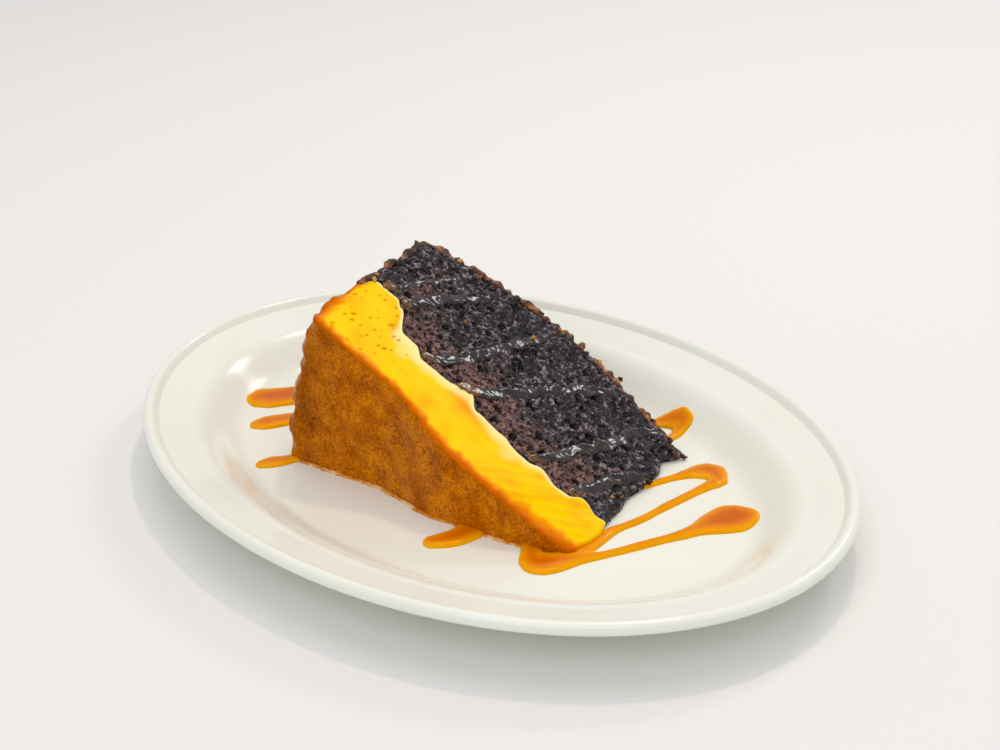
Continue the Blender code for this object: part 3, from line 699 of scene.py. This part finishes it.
# Values that colour it: how far burnt sugar soaked in, the pale band by the cake, knife streaks, painted
# shade in the dimples, in the pits and at the rim end, and the darker blotches and drips of sugar
soak_reach = 0.0046 + 0.0026 * ease(0.070, 0.010, radius) + layered_noise(shaped, SOAK_WAVES)
soak = np.clip(1.0 - np.minimum(from_outer, from_rim * 2.0) / soak_reach, 0, 1) ** 1.4
edge_glow = ease(0.0016, 0.0002, from_cut + 0.0010 * soft_noise(shaped, 0.0030, 38)) * on_sugar
soak = soak * (1.0 - 0.32 * edge_glow)
pale_width = step_line(PALE_WIDTHS, radius) * (1.0 + 0.5 * soft_noise(shaped, 0.006, 27))
pale = ease(1.0, 0.0, from_seam / np.maximum(pale_width, 0.0002))
orange_patch = bell_patches(radius, depth, ORANGE_PATCHES)
streak = np.clip(0.5 + 0.30 * knife_marks + 0.45 * orange_patch, 0, 1)
# Painted shade: the dimples' hollows are coloured a darker orange
dimple = np.clip(1.6 * dimples, 0, 1)
blotches = ease(-0.2, 0.7, soft_noise(shaped, 0.0016, 33)) * np.clip(near_patch, 0, 1)
upright = shaped * (1.0, 0.12, 1.0)
drips = ease(0.35, 0.8, soft_noise(upright, 0.0022, 34)) * ease(0.006, 0.0, from_front)
# Painted shade: the sugared faces darken towards the rim end and the pits' hollows darken; the blotches and
# drips are the sugar's own
painted_rim_shade = ease(0.108, 0.126, radius) * on_sugar
pit = np.clip(pits / 0.0006 + 0.7 * blotches + 0.22 * drips + 0.32 * painted_rim_shade, 0, 1)

# Baked custard: egg yellow, wet and slightly see-through, so light bleeds inside it. It is pale by the cake,
# turns orange and then brown towards its outer faces, and shows orange streaks. Shade is painted darker into
# its dimples, its small pits and the rim end of its sugared faces.
custard, tree, output = new_material("baked_custard")
soaked, paleness, streaked, dimple_shaded, shade_and_blotch_fac = [
    add_node(tree, "Attribute", attribute_name=name).outputs["Fac"]
    for name in ("soak", "pale", "streak", "dimple", "pit")]
place = add_node(tree, "TexCoord").outputs["Object"]
clouds = add_node(tree, "TexNoise", {"Vector": place, "Scale": 90.0, "Detail": 3.0})
cloudy = add_node(tree, "Mix", {0: 0.5, 2: clouds, 3: streaked})
yellow = add_node(tree, "ValToRGB", {"Fac": cloudy}, [(0.32, "FFDC00"), (0.52, "FFCC00"), (0.72, "F6A200")])
lightened = add_node(tree, "Mix", {0: paleness, 6: yellow, 7: linear("FFEFA0")}, data_type="RGBA")
# Painted shade: darker orange mixed into the dimples' hollows
spotted = add_node(tree, "Mix", {0: dimple_shaded, 6: lightened, 7: linear("DC8C00")}, data_type="RGBA")
speckle = add_node(tree, "TexNoise", {"Vector": place, "Scale": 1100.0, "Detail": 3.0})
patches = add_node(tree, "TexNoise", {"Vector": place, "Scale": 140.0, "Detail": 4.0})
mottled = add_node(tree, "Mix", {0: 0.45, 2: speckle, 3: patches})
sugar = add_node(tree, "ValToRGB", {"Fac": mottled}, [(0.34, "8A4200"), (0.48, "B66200"), (0.62, "DA8404")])
orange = add_node(tree, "ValToRGB", {"Fac": soaked},
                  [(0.0, "FDC000"), (0.20, "FBA800"), (0.40, "F08C00"), (0.62, "DC6E00"), (0.84, "B85400")])
orange_share = add_node(tree, "MapRange", {"Value": soaked, "From Min": 0.0, "From Max": 0.22})
stained = add_node(tree, "Mix", {0: orange_share, 6: spotted, 7: orange}, data_type="RGBA")
sugar_share = add_node(tree, "MapRange", {"Value": soaked, "From Min": 0.72, "From Max": 0.92})
coloured = add_node(tree, "Mix", {0: sugar_share, 6: stained, 7: sugar}, data_type="RGBA")
# Painted shade in the pits and at the rim end, together with the sugar's own dark blotches and drips
shade_and_blotch_mix = add_node(tree, "Math", {0: shade_and_blotch_fac, 1: 0.62}, operation="MULTIPLY")
holed = add_node(tree, "Mix", {0: shade_and_blotch_mix, 6: coloured, 7: linear("5A2A08")}, data_type="RGBA")
grain = add_node(tree, "TexNoise", {"Vector": place, "Scale": 1000.0, "Detail": 3.0})
bump = add_node(tree, "Bump", {"Height": grain, "Strength": 0.4, "Distance": 0.0002})
rough = add_node(tree, "MapRange", {
    "Value": soaked, "From Min": 0.2, "From Max": 0.9, "To Min": 0.40, "To Max": 0.20})
shader = add_node(tree, "BsdfPrincipled", {
    "Base Color": holed, "Roughness": rough, "IOR": 1.38, "Normal": bump,
    "Specular IOR Level": 0.18, "Specular Tint": linear("FFB030"),
    "Subsurface Weight": 0.15, "Subsurface Scale": 0.0020, "Subsurface Radius": (1.0, 0.45, 0.08)})
tree.links.new(shader.outputs[0], output.inputs[0])
add_piece("flan_layer", flan_points, [flan_faces, base_loop[None, ::-1]], custard, "custard", ["flan"],
          soak=soak, pale=pale, streak=streak, dimple=dimple, pit=pit)


# Syrup along the custard's base
# Thin syrup that weeps out of the custard and stands in a bead where its sugared face meets the plate.
BASE_STEPS = 420
BASE_SIDES = 12
BASE_SPAN = (0.0040, 0.1295)
BASE_HALF_WIDTH = 0.0010
BASE_SUNK = 0.0004


def bead_rings(middle, side, up, widths, rise, sunk, sides):
    """Rings of a low bead along a line: each is an oval of its half width, higher above the line than it is
    deep below it, and the rings shrink to a point at both ends by a square root."""
    turns = np.linspace(0, 2 * np.pi, sides, endpoint=False)
    reach = np.where(np.sin(turns)[None] > 0, np.broadcast_to(rise, len(middle))[:, None], sunk)
    share = np.linspace(0, 1, len(middle))
    taper = np.sqrt(np.clip(np.minimum(share, 1 - share) / 0.02, 0, 1))[:, None, None]
    across = (widths[:, None] * np.cos(turns))[..., None] * side[:, None, :]
    upward = (np.sin(turns)[None] * reach)[..., None] * up
    return middle[:, None, :] + taper * (across + upward)


base_radius = np.linspace(*BASE_SPAN, BASE_STEPS)
level = 0 * base_radius
along_base = np.stack([base_radius, level, level], axis=1)
wander = soft_noise(along_base, 0.006, 35)
finer = soft_noise(along_base, 0.0022, 37)
base_shape = slice_shape(base_radius, level, front_depth(base_radius))
middle = slice_to_world(base_shape[:, 0], level - CLEARANCE, base_shape[:, 2] - 0.0002 - 0.0004 * finer)
ahead = np.gradient(middle, axis=0)
side = np.stack([ahead[:, 1], -ahead[:, 0], level], axis=1)
side = side / np.linalg.norm(side, axis=1, keepdims=True)
widths = BASE_HALF_WIDTH * (1.0 + 0.40 * wander + 0.25 * finer)
rings = bead_rings(middle, side, np.array([0, 0, 1.0]), widths, 0.8 * widths, BASE_SUNK, BASE_SIDES)

# Weeping syrup: the same caramel, but so thin that it is a pale straw gold with bright highlights
weeping, tree, output = new_material("weeping_syrup")
place = add_node(tree, "TexCoord").outputs["Object"]
patches = add_node(tree, "TexNoise", {"Vector": place, "Scale": 220.0, "Detail": 2.0})
tone = add_node(tree, "ValToRGB", {"Fac": patches}, [(0.35, "C4700C"), (0.50, "DC9434"), (0.66, "E8C490")])
shader = add_node(tree, "BsdfPrincipled", {"Base Color": tone, "Roughness": 0.08, "IOR": 1.46})
tree.links.new(shader.outputs[0], output.inputs[0])
add_piece("base_syrup", rings.reshape(-1, 3), [grid_faces(BASE_STEPS, BASE_SIDES, wrap=True)], weeping,
          "caramel_sauce")


# Chocolate cake
# Oil cake of cocoa batter that rose above the custard. The knife tore its crumb, so the cut face is a mass
# of open bubbles and crags, wet with syrup from the pan. A skin on its baked faces covers the rest.
CAKE_CELLS = (440, 8, 200)
CRUST_COVER = 0.0011
CAKE_ROUNDING = 0.0008
WET_WAVES = [(0.007, 0.012, 55), (0.003, 0.004, 56)]
CRUMB_GRIT = [(0.00040, 0.0014, 53), (0.00034, 0.0008, 54)]
HOLE_WARP_X = [(0.0005, 0.0022, 57), (0.0002, 0.0010, 58)]
HOLE_WARP_Y = [(0.0005, 0.0022, 59), (0.0002, 0.0010, 60)]
CAKE_HOLES = [(0.0043, 0.0006, 0.0016, 0.85, 61), (0.0024, 0.0003, 0.0009, 0.90, 71),
              (0.0013, 0.0002, 0.0005, 0.85, 81)]

shares, cake_faces, steps = block_skin(CAKE_CELLS, open_sides=[(1, 0)])
radius = TIP_THICK_RADIUS + (SLICE_RADIUS - CRUST_COVER - TIP_THICK_RADIUS) * shares[:, 0]
angle = SLICE_ANGLE * shares[:, 1]
front = seam_depth(radius, radius * np.sin(angle)) + CLEARANCE / 2
back = back_depth(radius) - CRUST_COVER
depth = front + (back - front) * shares[:, 2]
from_cut = radius * (SLICE_ANGLE - angle)
from_seam = depth - front
moves = rounding_moves([from_cut, from_seam, back - depth, radius - TIP_THICK_RADIUS], CAKE_ROUNDING)[0]
shaped = slice_shape(radius + moves[3], angle, depth + moves[1] - moves[2], moves[0])
cake_points = slice_to_world(*shaped.T)
normals = point_normals(cake_points, cake_faces)
wet = ease(0.002, 0.028, from_seam + layered_noise(shaped, WET_WAVES))
wet = np.maximum(wet, np.maximum(ease(0.022, 0.012, radius), ease(0.112, 0.122, radius)))
crags = 0.0006 * soft_noise(shaped, 0.0075, 51) + (0.0003 + 0.0003 * wet) * soft_noise(shaped, 0.0034, 52)
grit = (0.15 + 0.85 * wet) * layered_noise(shaped, CRUMB_GRIT)
warp_x = radius + layered_noise(shaped, HOLE_WARP_X)
warp_y = depth + layered_noise(shaped, HOLE_WARP_Y)
holes = np.max([flat_hollows(warp_x, warp_y, *bubbles) for bubbles in CAKE_HOLES], axis=0)
holes = 1.3 * holes * ease(0.0035, 0.0, from_cut)
near_tip = ease(0.0, 0.015, radius)
lift = (crags * near_tip + grit) * ease(0.0, 0.0015, from_seam) - holes * (0.35 + 0.65 * near_tip)
lift = np.where((steps[:, 1] < CAKE_CELLS[1]) & (steps[:, 0] > 0), np.minimum(lift, 0) * 0.3, lift)
cake_points = cake_points + normals * lift[:, None]
rest_on_well(cake_points, steps)
base_loop = rim_loop(steps, CAKE_CELLS)
# Painted shade: the holes, and the dips of the wet crumb, are coloured towards black
hollow = np.clip(holes / 0.00020 - 1.1 * wet * np.minimum(grit + crags, 0) / 0.0009, 0, 1)

# Chocolate crumb: dark cocoa sponge. By the custard it is dry enough to look brown, and further up it is
# soaked, almost black, with a cold glint on every wet lump from its gloss and pale specks painted in as more
# glints. Its holes, dips and fine pores are painted black as shade.
crumb, tree, output = new_material("chocolate_crumb")
wetness = add_node(tree, "Attribute", attribute_name="wet").outputs["Fac"]
hole_shade_fac = add_node(tree, "Attribute", attribute_name="hollow").outputs["Fac"]
place = add_node(tree, "TexCoord").outputs["Object"]
mottle = add_node(tree, "TexNoise", {"Vector": place, "Scale": 420.0, "Detail": 4.0, "Roughness": 0.65})
dry = add_node(tree, "ValToRGB", {"Fac": mottle}, [(0.35, "54342C"), (0.52, "7A5046"), (0.68, "987064")])
# Painted highlights: the pale grey top of the soaked tones stands in for glints on the wet lumps
soaked = add_node(tree, "ValToRGB", {"Fac": mottle}, [(0.42, "0E080A"), (0.52, "34252C"), (0.61, "928088")])
body = add_node(tree, "Mix", {0: wetness, 6: dry, 7: soaked}, data_type="RGBA")
# Painted shade from here on: fine pores as black spots, then holes and pores mixed towards black
pores = add_node(tree, "TexVoronoi", {"Vector": place, "Scale": 640.0})
pore_shade = add_node(tree, "MapRange", {
    "Value": pores.outputs["Distance"], "From Min": 0.27, "From Max": 0.33, "To Min": 1.0, "To Max": 0.0})
painted_hole_shade = add_node(tree, "Math", {0: hole_shade_fac, 1: pore_shade}, operation="MAXIMUM")
deep = add_node(tree, "Math", {0: painted_hole_shade, 1: 0.97}, operation="MULTIPLY")
holed = add_node(tree, "Mix", {0: deep, 6: body, 7: linear("090607")}, data_type="RGBA")
grain = add_node(tree, "TexNoise", {"Vector": place, "Scale": 1500.0, "Detail": 3.0})
bump = add_node(tree, "Bump", {"Height": grain, "Strength": 1.0, "Distance": 0.0005})
rough = add_node(tree, "MapRange", {"Value": wetness, "To Min": 0.50, "To Max": 0.14})
shader = add_node(tree, "BsdfPrincipled", {
    "Base Color": holed, "Roughness": rough, "IOR": 1.42, "Normal": bump})
tree.links.new(shader.outputs[0], output.inputs[0])
add_piece("cake_crumb", cake_points, [cake_faces, base_loop[None, ::-1]], crumb, "chocolate_crumb",
          ["chocolate_cake"], sharp_angle=80, wet=wet, hollow=hollow)


# Baked skin of the cake
# The outer millimetre or two of the cake, set firm where it touched the pan at the rim and the oven's air
# on top. It wraps the crumb in one strip, from the custard round the pan's corner to the slice's tip.
CRUST_CELLS = (370, 104, 1)
CRUST_THICKNESS = 0.0022
CRUST_EDGE = 0.0007
CRUST_DROP = 0.0004
RIM_SHARE = 0.30
CRUST_LUMPS = [(0.0008, 0.0060, 91), (0.0005, 0.0026, 92)]
CRUST_GRIT = [(0.00022, 0.0011, 93)]
CRUST_RAGS = [(0.0011, 0.0021, 94)]
CRUST_DENTS = (0.0048, 0.0004, 0.0012, 0.6, 95)

shares, crust_faces, steps = block_skin(CRUST_CELLS)
on_rim = shares[:, 0] < RIM_SHARE
angle = SLICE_ANGLE * shares[:, 1]
on_back = np.clip((shares[:, 0] - RIM_SHARE) / (1 - RIM_SHARE), 0, 1)
radius = SLICE_RADIUS - (SLICE_RADIUS - TIP_THICK_RADIUS) * on_back
rim_seam = seam_depth(SLICE_RADIUS + 0 * angle, SLICE_RADIUS * np.sin(angle)) + CLEARANCE / 2
rim_back = back_depth(SLICE_RADIUS)
depth = np.where(on_rim, rim_seam + (rim_back - rim_seam) * shares[:, 0] / RIM_SHARE, back_depth(radius))
from_rim = np.where(on_rim, 0.0, SLICE_RADIUS - radius)
from_back = np.where(on_rim, rim_back - depth, 0.0)
from_cut = radius * (SLICE_ANGLE - angle)
moves = rounding_moves([from_rim, from_back], PAN_CORNER)[0]
turn = np.arctan2(PAN_CORNER - np.minimum(from_back, PAN_CORNER),
                  PAN_CORNER - np.minimum(from_rim, PAN_CORNER))
edge_drop = CRUST_EDGE * (1 - quarter_round(from_cut / CRUST_EDGE))
inner = CRUST_THICKNESS * (1 - shares[:, 2]) + edge_drop * shares[:, 2]
shaped = slice_shape(radius - moves[0] - inner * np.cos(turn), angle, depth - moves[1] - inner * np.sin(turn))
crust_points = slice_to_world(*shaped.T)
normals = point_normals(crust_points, crust_faces)
ragged = layered_noise(shaped, CRUST_RAGS) * ease(0.0030, 0.0, from_cut)
dents = np.minimum(open_bubbles(crust_points, -normals, *CRUST_DENTS), 0.0012)
lift = layered_noise(shaped, CRUST_LUMPS) + layered_noise(shaped, CRUST_GRIT) + ragged - CRUST_DROP - dents
lift = np.where(steps[:, 2] == 1, lift, 0.0)
crust_points = crust_points + normals * (lift * ease(0.0, 0.014, radius))[:, None]
rest_on_well(crust_points, steps)
edge = ease(0.0035, 0.0005, from_cut + 0.001 * soft_noise(shaped, 0.004, 96))

# Baked cake skin: browner and duller than the crumb, with toasted orange bits along its cut edge
skin, tree, output = new_material("baked_cake_skin")
edges = add_node(tree, "Attribute", attribute_name="edge").outputs["Fac"]
place = add_node(tree, "TexCoord").outputs["Object"]
mottle = add_node(tree, "TexNoise", {"Vector": place, "Scale": 300.0, "Detail": 4.0, "Roughness": 0.6})
brown = add_node(tree, "ValToRGB", {"Fac": mottle}, [(0.35, "2A1A15"), (0.55, "463026"), (0.70, "644634")])
toasted = add_node(tree, "ValToRGB", {"Fac": mottle},
                   [(0.38, "2A1A16"), (0.47, "54301E"), (0.56, "865028"), (0.68, "C08E54")])
body = add_node(tree, "Mix", {0: edges, 6: brown, 7: toasted}, data_type="RGBA")
grain = add_node(tree, "TexNoise", {"Vector": place, "Scale": 1300.0, "Detail": 3.0})
bump = add_node(tree, "Bump", {"Height": grain, "Strength": 0.7, "Distance": 0.0003})
shader = add_node(tree, "BsdfPrincipled", {
    "Base Color": body, "Roughness": 0.38, "IOR": 1.42, "Normal": bump})
tree.links.new(shader.outputs[0], output.inputs[0])
add_piece("cake_skin", crust_points, [crust_faces], skin, "chocolate_crumb", ["chocolate_cake"],
          sharp_angle=80, edge=edge)


# Syrup on the crumb
# Thinned caramel drizzled in strings over the cut face. It bridges the open crumb as a wet film with ragged
# edges, and the crumb pokes through it. Each string is a list of (distance from tip, depth, half width).
SYRUP_STRINGS = [
    [(0.1245, 0.0400, 0.0016), (0.1200, 0.0480, 0.0019), (0.1150, 0.0590, 0.0018), (0.1100, 0.0690, 0.0014)],
    [(0.1150, 0.0395, 0.0020), (0.1110, 0.0450, 0.0026), (0.1050, 0.0560, 0.0024), (0.0990, 0.0650, 0.0022),
     (0.0955, 0.0715, 0.0018)],
    [(0.0930, 0.0245, 0.0016), (0.0880, 0.0275, 0.0022), (0.0830, 0.0380, 0.0026), (0.0780, 0.0500, 0.0025),
     (0.0730, 0.0640, 0.0022), (0.0700, 0.0735, 0.0018)],
    [(0.0760, 0.0245, 0.0016), (0.0690, 0.0290, 0.0021), (0.0600, 0.0410, 0.0022), (0.0500, 0.0560, 0.0022),
     (0.0430, 0.0670, 0.0024), (0.0380, 0.0750, 0.0018)],
    [(0.0400, 0.0190, 0.0016), (0.0352, 0.0250, 0.0024), (0.0300, 0.0370, 0.0024), (0.0250, 0.0480, 0.0025),
     (0.0215, 0.0570, 0.0020)],
    [(0.0225, 0.0600, 0.0018), (0.0190, 0.0670, 0.0024), (0.0160, 0.0740, 0.0018)],
    [(0.0212, 0.0190, 0.0016), (0.0180, 0.0250, 0.0022), (0.0140, 0.0350, 0.0024), (0.0090, 0.0470, 0.0020)],
]
SYRUP_CELL = 0.00035
SYRUP_HEIGHT = 0.0008
SYRUP_SUNK = 0.0018
SYRUP_EDGE = 0.0014
SYRUP_SPAN_X = (0.006, 0.129)
SYRUP_SPAN_Y = (0.016, 0.080)
SYRUP_RAGS = [(0.0010, 0.0042, 101), (0.0009, 0.0017, 102)]
SYRUP_RIPPLES = [(0.00060, 0.0042, 103), (0.00030, 0.0022, 104)]


def cut_face_point(radius, depth):
    """A place on the upper cut face, with the swell of the dome and the shift of the thin edge."""
    return slice_to_world(*slice_shape(radius, SLICE_ANGLE + 0 * radius, depth).T)


x, y, flat = flat_grid(SYRUP_SPAN_X, SYRUP_SPAN_Y, SYRUP_CELL)
ragged = layered_noise(flat, SYRUP_RAGS).reshape(x.shape)
spots, inside, faces = flat_shape(stroke_field(x, y, SYRUP_STRINGS) + ragged + 0.0003, x, y)
flat = np.column_stack([spots, 0 * inside])
height = (SYRUP_HEIGHT + layered_noise(flat, SYRUP_RIPPLES)) * quarter_round(inside / SYRUP_EDGE) - 0.0001
up = np.array([math.sin(SLICE_ANGLE) * math.cos(SLICE_TURN), math.sin(SLICE_ANGLE) * math.sin(SLICE_TURN),
               math.cos(SLICE_ANGLE)])
face = cut_face_point(spots[:, 0], spots[:, 1])
syrup_points, syrup_faces = closed_pool(face + up * height[:, None], face - up * SYRUP_SUNK, inside, faces)
from_seam = spots[:, 1] - seam_depth(spots[:, 0], spots[:, 0] * math.sin(SLICE_ANGLE))
amber = ease(0.0055, 0.0015, from_seam + 0.001 * soft_noise(flat, 0.003, 105))
amber = np.concatenate([amber, amber[inside > 0]])

# Syrup film: dark because it lies over black crumb, amber where it thins out on the custard's edge, clear and
# very smooth, so it shows soft grey highlights
syrup, tree, output = new_material("caramel_syrup_film")
golden = add_node(tree, "Attribute", attribute_name="amber").outputs["Fac"]
place = add_node(tree, "TexCoord").outputs["Object"]
patches = add_node(tree, "TexNoise", {"Vector": place, "Scale": 320.0, "Detail": 3.0})
dark = add_node(tree, "ValToRGB", {"Fac": patches}, [(0.35, "120A08"), (0.60, "2A1C16"), (0.75, "483426")])
tone = add_node(tree, "Mix", {0: golden, 6: dark, 7: linear("6E4616")}, data_type="RGBA")
bump = add_node(tree, "Bump", {"Height": patches, "Strength": 0.06, "Distance": 0.0004})
shader = add_node(tree, "BsdfPrincipled", {
    "Base Color": tone, "Roughness": 0.16, "IOR": 1.62, "Normal": bump})
tree.links.new(shader.outputs[0], output.inputs[0])
add_piece("syrup_strings", syrup_points, syrup_faces, syrup, "syrup_glaze", amber=amber)


# Crumbs
# Bits of cake and custard that the knife tore loose and dragged along the cut edge and over the crumb.
# Each is (distance from tip, depth, height above the face, size, tone from dark cake to yellow custard).
CRUMBS = [
    (0.1157, 0.0786, -0.0001, 0.0012, 0.95), (0.1051, 0.0776, 0.0000, 0.0014, 0.55),
    (0.0984, 0.0781, -0.0001, 0.0011, 0.45), (0.0938, 0.0516, 0.0003, 0.0009, 0.60),
    (0.0718, 0.0697, 0.0005, 0.0010, 0.70), (0.0684, 0.0798, -0.0001, 0.0012, 0.40),
    (0.0575, 0.0851, 0.0000, 0.0017, 0.50), (0.0591, 0.0826, 0.0001, 0.0011, 0.35),
    (0.0490, 0.0844, -0.0001, 0.0012, 0.85), (0.0370, 0.0806, -0.0001, 0.0011, 0.30),
    (0.0315, 0.0796, -0.0001, 0.0009, 0.35), (0.0098, 0.0309, -0.0001, 0.0009, 0.75),
    (0.0061, 0.0353, -0.0007, 0.0010, 0.65), (0.1296, 0.0377, -0.0001, 0.0013, 0.78),
    (0.1256, 0.0412, -0.0001, 0.0011, 0.60), (0.1085, 0.0808, -0.0002, 0.0012, 0.08),
    (0.0985, 0.0800, -0.0001, 0.0011, 0.12), (0.0880, 0.0830, -0.0001, 0.0012, 0.05),
    (0.0780, 0.0850, -0.0002, 0.0012, 0.15), (0.0751, 0.0831, 0.0000, 0.0010, 0.30),
    (0.0390, 0.0845, -0.0001, 0.0012, 0.06), (0.0200, 0.0770, -0.0001, 0.0013, 0.10),
    (0.0110, 0.0745, -0.0002, 0.0014, 0.14), (0.0060, 0.0715, -0.0003, 0.0014, 0.28),
    (0.0035, 0.0740, -0.0013, 0.0013, 0.22), (0.0085, 0.0660, -0.0003, 0.0012, 0.06),
    (0.0065, 0.0560, -0.0003, 0.0012, 0.10), (0.0045, 0.0500, -0.0005, 0.0011, 0.05),
    (0.1290, 0.0460, -0.0001, 0.0012, 0.10), (0.1300, 0.0540, -0.0003, 0.0012, 0.06),
    (0.1305, 0.0620, -0.0003, 0.0012, 0.12), (0.1300, 0.0700, -0.0005, 0.0013, 0.05),
    (0.1230, 0.0790, -0.0003, 0.0013, 0.06), (0.1170, 0.0790, -0.0002, 0.0012, 0.08),
    (0.0476, 0.0506, 0.0003, 0.0008, 0.30), (0.0846, 0.0316, 0.0001, 0.0007, 0.40),
]
CRUMB_RINGS = 12
CRUMB_SIDES = 16
CRUMB_SHRINK = 0.8
CRUMB_LUMPS = [(0.60, 0.9, 111), (0.40, 0.45, 112)]

ring_angles = np.linspace(0, np.pi, CRUMB_RINGS + 2)[1:-1]
side_angles = np.linspace(0, 2 * np.pi, CRUMB_SIDES, endpoint=False)
across = np.sin(ring_angles)
ball = np.stack([np.outer(across, np.cos(side_angles)), np.outer(across, np.sin(side_angles)),
                 np.outer(np.cos(ring_angles), np.ones(CRUMB_SIDES))], axis=-1).reshape(-1, 3)
ball = np.concatenate([ball, [(0, 0, 1.0), (0, 0, -1.0)]])
side_numbers = np.arange(CRUMB_SIDES)
ball_faces = [grid_faces(CRUMB_RINGS, CRUMB_SIDES, wrap=True)[:, ::-1],
              fan_faces(side_numbers, len(ball) - 2),
              fan_faces(side_numbers + (CRUMB_RINGS - 1) * CRUMB_SIDES, len(ball) - 1, reverse=True)]
crumb_points, crumb_faces, crumb_tones = [], [], []
for number, (crumb_radius, crumb_depth, rise, size, tone_value) in enumerate(CRUMBS):
    centre = cut_face_point(np.array([crumb_radius]), np.array([crumb_depth]))[0] + up * rise
    own = ball + 7.0 * number
    shape = ball * (1.0 + layered_noise(own, CRUMB_LUMPS))[:, None]
    crumb_faces += [group + number * len(ball) for group in ball_faces]
    crumb_points.append(centre + CRUMB_SHRINK * size * shape)
    crumb_tones.append(np.full(len(ball), tone_value))

# Loose crumb: moist cake and custard in one scale of tones, dark cake, toasted brown, orange, yellow
bits, tree, output = new_material("loose_crumbs")
toned = add_node(tree, "Attribute", attribute_name="tone").outputs["Fac"]
place = add_node(tree, "TexCoord").outputs["Object"]
speck = add_node(tree, "TexNoise", {"Vector": place, "Scale": 700.0, "Detail": 3.0})
shifted = add_node(tree, "Math", {0: speck, 1: 0.5, 2: toned}, operation="MULTIPLY_ADD")
tone = add_node(tree, "ValToRGB", {"Fac": shifted},
                [(0.20, "140D0E"), (0.45, "34201A"), (0.68, "60361C"), (0.92, "966430"), (1.0, "C89A40")])
bump = add_node(tree, "Bump", {"Height": speck, "Strength": 0.8, "Distance": 0.0003})
shader = add_node(tree, "BsdfPrincipled", {
    "Base Color": tone, "Roughness": 0.35, "IOR": 1.42, "Normal": bump})
tree.links.new(shader.outputs[0], output.inputs[0])
add_piece("crumb_bits", np.concatenate(crumb_points), crumb_faces, bits, "chocolate_crumb",
          tone=np.concatenate(crumb_tones))
